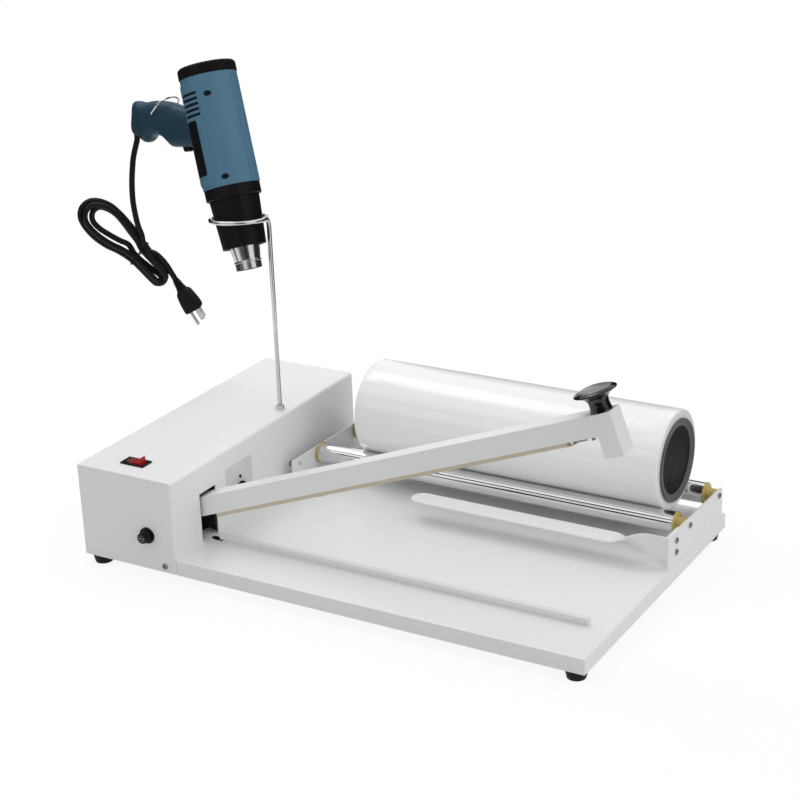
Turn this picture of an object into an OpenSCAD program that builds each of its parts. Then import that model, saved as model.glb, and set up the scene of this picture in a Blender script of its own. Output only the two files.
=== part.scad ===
// Bench bar sealer: a hinged sealing arm over a straight seal bar, a film roll
// that lies on two free rollers, and a heat gun kept in a wire ring stand.
// Millimetres, +Z up, X to the right, Y to the back.
// The part's origin is the centre of the front left foot's underside.
// Inside this file the sub-parts are drawn from the base's front left bottom corner.

/* [Base] */
// Length of the base from left to right
base_l = 720; // [700:5:760]
// Depth of the base from front to back
base_d = 438; // [430:2:460]
// Height of the base tray up to its deck
base_h = 20; // [16:1:24]
// Thickness of the folded sheet metal
sheet_t = 1.5; // [1:0.1:2.5]
// Height of a rubber foot
foot_h = 13; // [8:1:20]
// Diameter of a foot where it meets the base
foot_d = 29; // [22:1:32]
// Diameter of a foot on the table
foot_tip_d = 23; // [16:1:26]
// Distance of a foot's centre from the base's side edge
foot_x = 17; // [15:1:30]
// Distance of a foot's centre from the base's front or back edge
foot_y = 15; // [15:1:30]

/* [Housing] */
// Width of the housing from left to right
housing_w = 148; // [144:2:160]
// Height of the housing's top above the base's underside
housing_top = 127; // [122:1:140]
// Radius of the housing's rounded edges
edge_r = 4; // [3:0.5:6]
// Gap between the arm and each side of its slot in the right wall
slot_clear = 4.2; // [2:0.2:6]
// Gap between the resting arm and the top of its slot
slot_headroom = 5; // [3:1:10]

/* [Sealing arm] */
// Distance of the arm's pivot from the left edge
pivot_x = 90; // [80:1:96]
// Distance of the arm's middle from the front edge
arm_y = 77; // [72:1:84]
// Width of the arm's tube
arm_w = 27; // [24:1:30]
// Height of the arm's tube
arm_h = 25.4; // [22:0.2:28]
// Wall of the arm's tube
arm_wall = 2; // [1.5:0.5:3]
// Length of the arm behind its pivot
arm_tail = 38; // [30:1:38]
// Angle of the arm at rest above the closed position
arm_open = 20.65; // [16:0.05:21]
// Distance from the base's right edge to the leg of the closed arm
leg_clear = 24; // [20:1:30]
// Length of the leg along the arm
leg_l = 24; // [20:1:30]
// Height of the leg below the arm
leg_drop = 27; // [20:1:27]
// Diameter of the pivot pin
pin_d = 8; // [6:0.5:10]
// Thickness of the rubber strip under the arm
strip_t = 5.4; // [4:0.2:7]
// Distance from the pivot to the strip's left end
strip_from = 79; // [76:1:90]
// Distance from the strip's right end to the leg
strip_back = 42; // [40:1:60]
// Gap between the closed strip and the seal bar's pad
seal_gap = 0.3; // [0.3:0.1:1]

/* [Knob on the arm] */
// Diameter of the knob's head
knob_d = 59; // [50:1:70]
// Diameter of the knob's foot
knob_foot_d = 26; // [20:1:27]
// Height of the knob's rim above the arm
knob_rise = 25; // [20:1:32]
// Distance of the knob's middle from the arm's end
knob_back = 16; // [14:1:20]

/* [Seal bar] */
// Gap between the housing and the seal bar
bar_gap = 23; // [20:1:30]
// Distance from the seal bar's right end to the base's right edge
bar_inset = 29.5; // [24:0.5:40]
// Width of the seal bar
bar_w = 8; // [6:1:12]
// Height of the seal bar without its pad
bar_h = 8.6; // [7:0.2:12]
// Thickness of the seal bar's pad
pad_t = 1.4; // [1:0.2:2]

/* [Film rollers] */
// Diameter of a roller's tube
roller_d = 27.8; // [24:0.2:30]
// Height of the rollers' middle above the deck
roller_rise = 33; // [30:1:36]
// Distance of the front roller from the base's back edge
roller_y = 120; // [114:1:128]
// Distance between the two rollers
roller_pitch = 100; // [90:1:100]
// Diameter of a roller's fixed axle
axle_d = 8; // [6:0.5:10]
// Diameter of a roller cap's rim
rim_d = 29.6; // [28:0.2:32]
// Distance from the housing to the left bracket
bracket_gap = 16.5; // [10:0.5:24]
// Distance from the right bracket to the base's right edge
bracket_inset = 2; // [1:1:6]
// Distance of both brackets' front edge from the base's back edge
bracket_y = 190; // [186:1:192]
// Depth of a bracket
bracket_d = 182; // [180:1:186]
// Height of a bracket above the deck
bracket_h = 45; // [43:1:50]
// Thickness of a bracket
bracket_t = 2; // [1.5:0.5:3]
// Width of a bracket's foot
bracket_foot = 45; // [40:1:50]

/* [Film roll] */
// Width of the film
film_w = 444; // [400:2:460]
// Diameter of the film roll
film_d = 132; // [120:2:150]
// Outer diameter of the cardboard core
core_d = 98; // [94:1:102]
// Wall of the cardboard core
core_wall = 4; // [3:0.5:5]
// Diameter of the core plug's rim
plug_rim_d = 110; // [108:1:114]
// Share of the free room between the brackets that lies right of the film roll, in percent
film_gap = 36; // [30:1:60]

/* [Film bar] */
// Width of the flat film bar
film_bar_w = 30; // [26:1:30]
// Thickness of the film bar
film_bar_t = 1.6; // [1.2:0.2:2.4]
// Length of the film bar
film_bar_l = 361; // [340:1:380]
// Length of the film bar's quarter twist
twist_l = 55; // [45:1:70]
// Height of the film bar's middle above the deck
film_bar_rise = 30; // [28:1:30]

/* [Ring stand] */
// Diameter of the stand's rod
rod_d = 6; // [5:0.5:7]
// Distance of the rod from the housing's right wall
rod_x = 15.3; // [14:0.1:20]
// Distance of the rod from the front edge
rod_y = 275.5; // [270:0.5:282]
// Height of the ring above the base's underside
ring_z = 399.5; // [380:0.5:420]
// Radius of the ring's wire line
ring_r = 37.5; // [37.5:0.5:40]

/* [Heat gun] */
// Radius of the gun's barrel
barrel_r = 38.2; // [37.6:0.2:39]
// Length of the gun's barrel
barrel_l = 148.5; // [140:0.5:155]
// Radius of the front collar
collar_r = 37.2; // [36.5:0.1:37.6]
// Length of the front collar
collar_l = 15; // [12:1:18]
// Radius of the guard where it meets the collar
guard_r = 33.5; // [33:0.1:33.5]
// Radius of the guard's open end
guard_tip_r = 29.2; // [28:0.1:29.5]
// Length of the guard
guard_l = 66; // [60:1:70]
// Radius of the nozzle inside the guard
nozzle_r = 20; // [18:0.5:21]
// Radius of the nozzle's open end
nozzle_tip_r = 17.4; // [16:0.2:18]
// Length of the nozzle that stands out of the guard
nozzle_out = 30; // [24:1:34]
// Length of the ribbed rear cap
cap_l = 15; // [12:1:18]
// Half the width of the handle
grip_w = 17; // [15:0.5:18]

/* [Controls] */
// Diameter of the timer's knob
timer_d = 20; // [16:1:24]
// Length of the timer's knob
timer_l = 13; // [10:1:16]
// Length of the switch's frame
switch_l = 36; // [34:1:40]
// Width of the switch's frame
switch_w = 20.5; // [20:0.5:24]
// Tilt of the rocker to either side
rocker_tilt = 8; // [5:1:9]
// Radius of the fuse cap at the housing
fuse_r = 8.5; // [7.5:0.1:9]
// Length of the fuse cap
fuse_l = 10.5; // [8:0.5:14]
// Diameter of the cord lead
cord_d = 7; // [6:0.5:8]

/* [Hidden] */
$fn = 48;

// Running clearance of a pin or shaft in its bore
run_fit = 0.05;
// Clearance of a fixed piece in its hole
hole_fit = 0.1;
// Clearance between bodies that move past each other
pass_gap = 0.3;
// Overshoot of a cut past the face that it opens
cut = 1;

// Arm
pivot_z = base_h + bar_h + pad_t + seal_gap + strip_t + arm_h / 2;
leg_at = base_l + leg_clear - pivot_x;
arm_end = leg_at + leg_l;
knob_at = arm_end - knob_back;
slot_w = arm_w + 2 * slot_clear;
arm_top_at_wall = pivot_z + (housing_w - pivot_x) * tan(arm_open) + arm_h / 2 / cos(arm_open);
slot_top = arm_top_at_wall + slot_headroom;
cheek_gap = 1;
cheek_t = 2.5;
cheek_foot = 12;
cheek_front = 36;
cheek_back = 12;
bridge_from = 14;
bridge_z = housing_top - sheet_t - 12;
lug_at = 35;
lug_h = 8;
lug_t = 3;

// Seal bar
bar_x0 = housing_w + bar_gap;
bar_x1 = base_l - bar_inset;

// Film stand
front_y = base_d - roller_y;
stand_y = base_d - bracket_y;
roller_z = base_h + roller_rise;
left_x = housing_w + bracket_gap;
left_in = left_x + bracket_t;
right_x = base_l - bracket_inset;
right_in = right_x - bracket_t;
cap_flange = 3;
cap_plug = 12;
plug_sleeve_l = 18;
left_hub = 2.5;
right_hub = 14;
tube_x0 = left_in + left_hub + cap_flange;
tube_x1 = right_in - right_hub - cap_flange;
tube_wall = 1.2;
rear_y = front_y + roller_pitch;
film_room = right_in - left_in - film_w;
film_x1 = right_in - film_room * film_gap / 100;
film_x0 = film_x1 - film_w;
film_y = front_y + roller_pitch / 2;
roll_reach = (film_d + roller_d) / 2 + pass_gap;
film_z = roller_z + sqrt(roll_reach * roll_reach - roller_pitch * roller_pitch / 4);

// Film bar
film_bar_y = stand_y + film_bar_t / 2 + 0.2;
film_bar_z = base_h + film_bar_rise;
web_l = 21;
tab_d = 35;
tab_screws = [15, 31];
tab_screw_y = stand_y + 26;

// Controls
timer_y = 150.5;
timer_z = 62;
lamp_y = 149.5;
lamp_z = 79.4;
lamp_r = 2.4;
switch_x = 67.2;
switch_y = 37.2;
rocker_l = 30;
rocker_w = 14.4;
rocker_z = housing_top + 1;
fuse_x = 105.7;
fuse_z = 48;
gland_x = 60;
gland_z = 62;
gland_r = 8;
cord_r = cord_d / 2;
core_l = 66;
core_w = 40;
core_h = 56;
core_foot = 2;
core_x = 62;
core_y = 232;
coil_l = 44;
coil_w = 62;
coil_h = 38;

// Screws: [place, turn, grip length]
screw_r = 2;
screw_head_r = 4;
screw_head_h = 2.4;
seam_screw_x = 130;
seam_screw_z = 8.3;
wall_bolt = [269.8, 51.2];

// Ring stand and gun
ring_turn = 33;
ring_lean = -7;
rod_out = 1.6;
rod_at_x = housing_w - rod_x;
ring_at = [rod_at_x - (ring_r + rod_out) * cos(ring_turn), rod_y - (ring_r + rod_out) * sin(ring_turn), ring_z];
gun_turn = [-9.5, -19.2, -4];
collar_t0 = 28.5;
barrel_t0 = collar_t0 + collar_l;
barrel_t1 = barrel_t0 + barrel_l;
guard_t0 = collar_t0 - guard_l;
exit_local = [-149.5, 0, 155];
relief_below = 8;
relief_in = 12;
relief_r = 4.8;
bail_foot = [-97, 0, 165];
bail_wire = 2.5;
trigger_x = [-75, -60];
trigger_t = [104, 117];
trigger_w = 15;
trigger_travel = 4;

// Cord: points in the plane that it hangs in, distance to the right and height
cord_turn = 31;
lead_route = [[0, 486.6], [0, 482], [-3, 473], [-7.5, 456], [-10, 441], [-12, 425],
  [-13, 409], [-13, 393], [-11.5, 377], [-9, 360], [-5, 346]];
tail_route = [[21, 307], [24, 302.5], [27, 297.5], [30, 291.5], [33, 285], [36, 278.6]];
hank_upper = [[-66, 373, 27], [-42, 345, 25], [-11, 318, 19]];
hank_lower = [[-11, 318, 19], [10, 287, 19], [13, 283, 18]];
hank_t = 18;
tie_turn = 42;
tie_w = 4;
plug_at = [59.9, 233.3];
plug_turn = -27.7;
plug_l = 35.6;
plug_w = 27;
plug_t = 24;
plug_relief_l = 15.4;

function arc(cx, cy, r, a0, a1, n = 6) =
  [for (i = [0 : n]) let (a = a0 + (a1 - a0) * i / n) [cx + r * cos(a), cy + r * sin(a)]];
function unit(v) = v / norm(v);
function turn_x(p, a) = [p.x, p.y * cos(a) - p.z * sin(a), p.y * sin(a) + p.z * cos(a)];
function turn_y(p, a) = [p.x * cos(a) + p.z * sin(a), p.y, p.z * cos(a) - p.x * sin(a)];
function turn_z(p, a) = [p.x * cos(a) - p.y * sin(a), p.x * sin(a) + p.y * cos(a), p.z];
function turned(p, t) = turn_z(turn_y(turn_x(p, t.x), t.y), t.z);
cord_at = ring_at + turned(exit_local, gun_turn);

function tangent(p, i) =
  i == 0 ? unit(p[1] - p[0]) :
  i == len(p) - 1 ? unit(p[i] - p[i - 1]) :
  unit(p[i + 1] - p[i - 1]);
function across(n, t) = unit(n - (n * t) * t);
function normals(p, first) =
  [for (i = 0, n = across(first, tangent(p, 0)); i < len(p);
        i = i + 1, n = i < len(p) ? across(n, tangent(p, i)) : n) n];

// Round tube swept along a list of points
module tube(path, r, sides = 10, first = [0, 1, 0.01]) {
  ns = normals(path, first);
  rings = [for (i = [0 : len(path) - 1])
    let (t = tangent(path, i), n = ns[i], b = cross(t, n))
    for (k = [0 : sides - 1])
      path[i] + r * (cos(360 * k / sides) * n + sin(360 * k / sides) * b)];
  walls = [for (i = [0 : len(path) - 2]) for (k = [0 : sides - 1])
    let (m = (k + 1) % sides)
    [(i + 1) * sides + k, (i + 1) * sides + m, i * sides + m, i * sides + k]];
  first_end = [for (k = [0 : sides - 1]) k];
  last_end = [for (k = [sides - 1 : -1 : 0]) (len(path) - 1) * sides + k];
  polyhedron(points = rings, faces = concat(walls, [first_end, last_end]), convexity = 6);
}

// Frame of the whole part, from the base's corner to the foot at the origin
module at_part() {
  translate([-foot_x, -foot_y, foot_h]) children();
}

// Frame of the arm: X along it from the pivot, Z up from its middle
module arm_frame() {
  at_part() translate([pivot_x, arm_y, pivot_z]) rotate([0, -arm_open, 0]) children();
}

// Frame of the gun: Z along the barrel to the rear cap, the handle towards -X
module gun_frame() {
  at_part() translate(ring_at) rotate(gun_turn) children();
}

// Frame of the cord's plane: X to the right along it, Z up
module cord_frame() {
  at_part() translate([cord_at.x, cord_at.y, 0]) rotate([0, 0, cord_turn]) children();
}

module along_x(x) {
  translate([x, 0, 0]) rotate([0, 90, 0]) children();
}

// BASE

function pan_outline(i) = [
  [sheet_t + 0.2 + i, sheet_t + 0.2 + i],
  [housing_w + 0.2 + i, sheet_t + 0.2 + i],
  [housing_w + 0.2 + i, i],
  [base_l - i, i],
  [base_l - i, base_d - i],
  [housing_w + 0.2 + i, base_d - i],
  [housing_w + 0.2 + i, base_d - sheet_t - 0.2 - i],
  [sheet_t + 0.2 + i, base_d - sheet_t - 0.2 - i]
];

module seam_screw_holes() {
  for (y = [0, base_d]) {
    translate([seam_screw_x, y, seam_screw_z]) rotate([90, 0, 0])
      cylinder(r = screw_r + hole_fit, h = 24, center = true);
  }
  for (y = [60, base_d - 60]) {
    translate([0, y, seam_screw_z]) rotate([0, 90, 0])
      cylinder(r = screw_r + hole_fit, h = 24, center = true);
  }
}

module foot_places() {
  for (x = [foot_x, base_l - foot_x]) {
    for (y = [foot_y, base_d - foot_y]) {
      translate([x, y, 0]) children();
    }
  }
}

// Hole in the deck where the seal bar's leads go down
module lead_hole() {
  translate([housing_w + 6.3, arm_y + 3.5, base_h]) {
    cylinder(r = 2.6, h = 6, center = true);
    translate([0, -6, -3]) cube([bar_gap - 10, 5, 6]);
  }
}

module base_pan() {
  at_part() color("whitesmoke") difference() {
    linear_extrude(base_h) polygon(pan_outline(0));
    translate([0, 0, -cut]) linear_extrude(base_h - sheet_t + cut) polygon(pan_outline(sheet_t));
    lead_hole();
    seam_screw_holes();
    bracket_foot_places() cylinder(r = screw_r + hole_fit, h = 20, center = true);
  }
}

module bottom_plate() {
  at_part() color("lightgray") difference() {
    linear_extrude(sheet_t) polygon(pan_outline(sheet_t + 0.1));
    foot_places() translate([0, 0, -cut]) cylinder(r = screw_r + hole_fit, h = sheet_t + 2 * cut);
  }
}

module foot(x, y) {
  at_part() translate([x, y, -foot_h]) color([0.08, 0.08, 0.08]) difference() {
    cylinder(d1 = foot_tip_d, d2 = foot_d, h = foot_h);
    translate([0, 0, -cut]) cylinder(r = screw_head_r + 1, h = foot_h / 2 + cut);
    cylinder(r = screw_r + hole_fit, h = foot_h + cut);
  }
}

// HOUSING

function housing_plan(i) = concat(
  [[i, i]],
  arc(housing_w - edge_r, edge_r, edge_r - i, -90, 0),
  [[housing_w - i, base_d - i], [i, base_d - i]]);
function housing_side(i) = concat(
  [[i, -cut], [housing_w - i, -cut]],
  arc(housing_w - edge_r, housing_top - edge_r, edge_r - i, 0, 90),
  [[i, housing_top - i]]);

module housing_block(i) {
  intersection() {
    translate([0, 0, i > 0 ? -cut : 0]) linear_extrude(housing_top + 2 * cut) polygon(housing_plan(i));
    translate([0, base_d + cut, 0]) rotate([90, 0, 0])
      linear_extrude(base_d + 2 * cut) polygon(housing_side(i));
  }
}

function slot_outline() = concat(
  arc(arm_y - slot_w / 2 + 5, base_h + 5, 5, 270, 180),
  [[arm_y - slot_w / 2, slot_top], [arm_y + slot_w / 2, slot_top],
   [arm_y + slot_w / 2, base_h - cut], [arm_y - slot_w / 2 + 5, base_h - cut]]);

module housing_cover() {
  at_part() color("whitesmoke") difference() {
    housing_block(0);
    housing_block(sheet_t);
    translate([housing_w - edge_r - cut, sheet_t, -cut])
      cube([edge_r + 2 * cut, base_d - 2 * sheet_t, base_h + cut]);
    translate([housing_w - 2 * edge_r, 0, 0]) rotate([90, 0, 90])
      linear_extrude(3 * edge_r) polygon(slot_outline());
    seam_screw_holes();
    translate([rod_at_x, rod_y, housing_top]) cylinder(r = rod_d / 2 + hole_fit, h = 20, center = true);
    translate([switch_x, switch_y, housing_top])
      cube([switch_l - 4 + 2 * hole_fit, switch_w - 4 + 2 * hole_fit, 20], center = true);
    translate([fuse_x, 0, fuse_z]) rotate([90, 0, 0]) cylinder(r = 7 + hole_fit, h = 20, center = true);
    translate([gland_x, base_d, gland_z]) rotate([90, 0, 0]) cylinder(r = gland_r + hole_fit, h = 20, center = true);
    translate([housing_w, timer_y, timer_z]) rotate([0, 90, 0]) cylinder(r = 5 + hole_fit, h = 20, center = true);
    translate([housing_w, lamp_y, lamp_z]) rotate([0, 90, 0]) cylinder(r = lamp_r + hole_fit, h = 20, center = true);
    translate([housing_w, wall_bolt[0], wall_bolt[1]]) rotate([0, 90, 0])
      cylinder(r = screw_r + hole_fit, h = 20, center = true);
  }
}

// SCREWS

module screw(grip) {
  rotate_extrude($fn = 32) polygon(concat(
    [[0, -grip], [screw_r, -grip], [screw_r, 0], [screw_head_r, 0], [screw_head_r, 0.9]],
    [for (a = [10 : 20 : 90]) [screw_head_r * cos(a), 0.9 + (screw_head_h - 0.9) * sin(a)]]));
}

module machine_screws() {
  at_part() color("silver") {
    translate([seam_screw_x, 0, seam_screw_z]) rotate([90, 0, 0]) screw(8);
    translate([seam_screw_x, base_d, seam_screw_z]) rotate([-90, 0, 0]) screw(8);
    for (y = [60, base_d - 60]) {
      translate([0, y, seam_screw_z]) rotate([0, -90, 0]) screw(8);
    }
    translate([housing_w, wall_bolt[0], wall_bolt[1]]) rotate([0, 90, 0]) screw(8);
    foot_places() translate([0, 0, -foot_h / 2]) rotate([180, 0, 0]) screw(foot_h / 2 + 6);
    for (y = [front_y, rear_y]) {
      translate([right_x, y, roller_z]) rotate([0, 90, 0]) screw(10);
      translate([left_x, y, roller_z]) rotate([0, -90, 0]) screw(10);
    }
    for (z = tab_screws) {
      translate([right_x, tab_screw_y, base_h + z]) rotate([0, 90, 0]) screw(8);
    }
    bracket_foot_places() translate([0, 0, bracket_t]) screw(8);
  }
}

// FILM STAND

module bracket_foot_places() {
  for (x = [left_x + 24, right_x - 24]) {
    for (y = [stand_y + 42, stand_y + bracket_d - 28]) {
      translate([x, y, base_h]) children();
    }
  }
}

// Side of a bracket: front edge upright, top a little lower at the back
function bracket_side() = concat(
  [[stand_y, base_h], [stand_y + bracket_d, base_h]],
  arc(stand_y + bracket_d - 8, base_h + bracket_h - 11, 8, 0, 88),
  arc(stand_y + 3, base_h + bracket_h - 3, 3, 90, 180, 3));

module bracket(x, inward) {
  difference() {
    union() {
      translate([x, 0, 0]) rotate([90, 0, 90]) linear_extrude(bracket_t) polygon(bracket_side());
      translate([inward > 0 ? x : x + bracket_t - bracket_foot, stand_y, base_h])
        cube([bracket_foot, bracket_d, bracket_t]);
    }
    for (y = [front_y, rear_y]) {
      translate([x, y, roller_z]) rotate([0, 90, 0]) cylinder(r = screw_r + hole_fit, h = 20, center = true);
    }
    bracket_foot_places() cylinder(r = screw_r + hole_fit, h = 20, center = true);
    children();
  }
}

module left_bracket() {
  at_part() color("whitesmoke") bracket(left_x, 1)
    translate([left_x, stand_y + 19, roller_z + 3]) rotate([0, 90, 0]) cylinder(r = 3, h = 20, center = true);
}

module right_bracket() {
  at_part() color("whitesmoke") bracket(right_in, -1) tab_holes();
}

module tab_holes() {
  for (z = tab_screws) {
    translate([right_x, tab_screw_y, base_h + z]) rotate([0, 90, 0])
      cylinder(r = screw_r + hole_fit, h = 20, center = true);
  }
}

module axle(y) {
  at_part() color("dimgray") translate([0, y, roller_z]) difference() {
    along_x(left_in) cylinder(d = axle_d, h = right_in - left_in);
    along_x(left_in - cut) cylinder(r = screw_r + hole_fit, h = 10 + cut);
    along_x(right_in - 10) cylinder(r = screw_r + hole_fit, h = 10 + cut);
  }
}

module roller(y) {
  at_part() color("silver") translate([0, y, roller_z]) along_x(tube_x0) difference() {
    cylinder(d = roller_d, h = tube_x1 - tube_x0, $fn = 64);
    translate([0, 0, -cut]) cylinder(d = roller_d - 2 * tube_wall, h = tube_x1 - tube_x0 + 2 * cut, $fn = 64);
  }
}

// Moulded cap: hub, rim and a plug inside the tube; it turns on the fixed axle
module roller_cap(hub) {
  bore = axle_d / 2 + run_fit;
  inner = roller_d / 2 - tube_wall - run_fit;
  rotate_extrude($fn = 64) polygon([
    [bore, -cap_flange - hub + pass_gap], [8, -cap_flange - hub + pass_gap], [8.6, -cap_flange],
    [rim_d / 2 - 0.6, -cap_flange], [rim_d / 2, -cap_flange + 0.6], [rim_d / 2, 0],
    [inner, 0], [inner, cap_plug - 1], [inner - 1, cap_plug], [bore, cap_plug]]);
}

module cap_left(y) {
  at_part() color("gold") translate([0, y, roller_z]) along_x(tube_x0) roller_cap(left_hub);
}

module cap_right(y) {
  at_part() color("gold") translate([0, y, roller_z]) along_x(tube_x1) rotate([180, 0, 0]) roller_cap(right_hub);
}

module film_roll() {
  at_part() color([0.9, 0.92, 0.93]) translate([0, film_y, film_z]) along_x(film_x0) difference() {
    cylinder(d = film_d, h = film_w, $fn = 96);
    translate([0, 0, -cut]) cylinder(d = core_d + 2 * run_fit, h = film_w + 2 * cut, $fn = 96);
  }
}

module film_core() {
  at_part() color("tan") translate([0, film_y, film_z]) along_x(film_x0) difference() {
    cylinder(d = core_d, h = film_w, $fn = 96);
    translate([0, 0, -cut]) cylinder(d = core_d - 2 * core_wall, h = film_w + 2 * cut, $fn = 96);
  }
}

// Core plug: a rim against the roll's end, a shallow dished face and a sleeve in the core
module core_plug() {
  sleeve = core_d / 2 - core_wall - run_fit;
  rotate_extrude($fn = 96) polygon([
    [0, 0], [sleeve - 2.5, 0], [sleeve - 2, -3], [plug_rim_d / 2 - 0.8, -3], [plug_rim_d / 2, -2.2],
    [plug_rim_d / 2, -pass_gap / 3], [sleeve, -pass_gap / 3], [sleeve, plug_sleeve_l],
    [sleeve - 2, plug_sleeve_l],
    [sleeve - 2, 2], [0, 2]]);
}

module core_plug_left() {
  at_part() color("gray") translate([0, film_y, film_z]) along_x(film_x0) core_plug();
}

module core_plug_right() {
  at_part() color("gray") translate([0, film_y, film_z]) along_x(film_x1) rotate([180, 0, 0]) core_plug();
}

// Quarter twist: the upright section turns flat as it runs to the left, top edge to the front
module film_twist(steps = 16) {
  corners = [[-film_bar_w / 2, -film_bar_t / 2], [film_bar_w / 2, -film_bar_t / 2],
             [film_bar_w / 2, film_bar_t / 2], [-film_bar_w / 2, film_bar_t / 2]];
  pts = [for (i = [0 : steps]) let (s = i / steps, a = 90 * s * s * (3 - 2 * s)) for (c = corners)
    [-twist_l * s, c.y * cos(a) - c.x * sin(a), c.x * cos(a) + c.y * sin(a)]];
  walls = [for (i = [0 : steps - 1]) for (k = [0 : 3]) let (m = (k + 1) % 4)
    each [[i * 4 + k, (i + 1) * 4 + m, i * 4 + m], [i * 4 + k, (i + 1) * 4 + k, (i + 1) * 4 + m]]];
  last = [for (k = [3 : -1 : 0]) steps * 4 + k];
  polyhedron(points = pts, faces = concat(walls, [[0, 1, 2, 3], last]), convexity = 4);
}

// Film bar: a screwed tab, an upright web, a quarter twist and a flat bar with a round end
module film_bar() {
  flat_x1 = right_in - web_l - twist_l;
  flat_x0 = right_in - film_bar_l + film_bar_w / 2;
  at_part() color("whitesmoke") {
    difference() {
      translate([right_in - film_bar_t, film_bar_y - film_bar_t / 2, film_bar_z - film_bar_w / 2 - 7])
        cube([film_bar_t, tab_d, film_bar_w + 7]);
      tab_holes();
    }
    translate([right_in - web_l, film_bar_y - film_bar_t / 2, film_bar_z - film_bar_w / 2])
      cube([web_l, film_bar_t, film_bar_w]);
    translate([right_in - web_l, film_bar_y, film_bar_z]) film_twist();
    translate([flat_x0, film_bar_y - film_bar_w / 2, film_bar_z - film_bar_t / 2])
      cube([flat_x1 - flat_x0, film_bar_w, film_bar_t]);
    translate([flat_x0, film_bar_y, film_bar_z]) cylinder(d = film_bar_w, h = film_bar_t, center = true);
  }
}

// SEAL BAR

module seal_bar() {
  at_part() color("silver") translate([bar_x0, arm_y - bar_w / 2, base_h]) difference() {
    cube([bar_x1 - bar_x0, bar_w, bar_h]);
    translate([-cut, -cut, 2.4]) cube([bar_x1 - bar_x0 + 2 * cut, cut + 0.8, 2]);
    translate([-cut, bar_w - 0.8, 2.4]) cube([bar_x1 - bar_x0 + 2 * cut, cut + 0.8, 2]);
  }
}

module seal_pad() {
  at_part() color("tan") translate([bar_x0, arm_y, base_h + bar_h]) rotate([90, 0, 90])
    linear_extrude(bar_x1 - bar_x0) polygon([
      [-bar_w / 2, 0], [bar_w / 2, 0], [bar_w / 2, pad_t - 0.5], [bar_w / 2 - 0.8, pad_t],
      [-bar_w / 2 + 0.8, pad_t], [-bar_w / 2, pad_t - 0.5]]);
}

// ARM

module arm_tube() {
  arm_frame() color("whitesmoke") difference() {
    union() {
      translate([-arm_tail, -arm_w / 2, -arm_h / 2]) cube([arm_tail + arm_end, arm_w, arm_h]);
      translate([lug_at - 5, -lug_t / 2, arm_h / 2]) cube([10, lug_t, lug_h]);
    }
    translate([-arm_tail - cut, -arm_w / 2 + arm_wall, -arm_h / 2 + arm_wall])
      cube([arm_tail + arm_end - arm_wall + cut, arm_w - 2 * arm_wall, arm_h - 2 * arm_wall]);
    rotate([90, 0, 0]) cylinder(r = pin_d / 2 + run_fit, h = arm_w + 2 * cut, center = true);
    translate([lug_at, 0, arm_h / 2 + 4]) rotate([90, 0, 0]) cylinder(r = 1.5, h = 10, center = true, $fn = 24);
    translate([knob_at, 0, arm_h / 2]) cylinder(r = 4 + hole_fit, h = 2 * arm_wall + cut, center = true);
  }
}

module arm_leg() {
  arm_frame() color("whitesmoke") translate([leg_at, -arm_w / 2, -arm_h / 2 - leg_drop]) difference() {
    cube([leg_l, arm_w, leg_drop]);
    translate([arm_wall, arm_wall, -cut])
      cube([leg_l - 2 * arm_wall, arm_w - 2 * arm_wall, leg_drop - arm_wall + cut]);
  }
}

module arm_strip() {
  w = arm_w / 2 - 1;
  arm_frame() color("burlywood") translate([strip_from, 0, -arm_h / 2]) rotate([90, 0, 90])
    linear_extrude(leg_at - strip_back - strip_from) polygon(concat(
      [[w, 0], [-w, 0]],
      arc(-w + 2, -strip_t + 2, 2, 180, 270, 4),
      arc(w - 2, -strip_t + 2, 2, -90, 0, 4)));
}

// Clamp that keeps the strip's heating-side cover stretched, with its hook wire and post
module wire_clamp() {
  from = leg_at - strip_back;
  arm_frame() color("gray") translate([from, 0, -arm_h / 2]) {
    translate([0.3, -8, -strip_t]) cube([8, 16, strip_t]);
    translate([8, 0, -strip_t / 2]) rotate([0, 90, 0]) cylinder(r = 1.4, h = 18, $fn = 24);
    translate([28, 0, -strip_t - 1]) cylinder(r = 3, h = strip_t + 1, $fn = 24);
  }
}

// Trumpet profile: the radius grows with the square of the height
function trumpet(n = 10) =
  [for (i = [0 : n]) let (s = i / n) [knob_foot_d / 2 - 2 * sin(180 * s) + (knob_d - knob_foot_d) / 2 * pow(s, 2.4), knob_rise * s]];

module handle_knob() {
  arm_frame() color([0.06, 0.06, 0.06]) translate([knob_at, 0, arm_h / 2]) rotate_extrude($fn = 72)
    polygon(concat(
      [[0, -arm_wall], [4, -arm_wall], [4, 0]],
      trumpet(),
      [[knob_d / 2, knob_rise + 2], [knob_d / 2 - 1, knob_rise + 3], [knob_d / 2 - 3, knob_rise + 3],
       [knob_d / 2 - 3, knob_rise + 1.6], [0, knob_rise + 1.6]]));
}

module knob_cap() {
  r = knob_d / 2 - 3 - hole_fit;
  arm_frame() color("dimgray") translate([knob_at, 0, arm_h / 2 + knob_rise + 1.6]) rotate_extrude($fn = 72)
    polygon(concat([[0, 0], [r, 0]], [for (a = [0 : 15 : 90]) [r * cos(a), 1.4 + 5 * sin(a)]]));
}

// HINGE OF THE ARM

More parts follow.
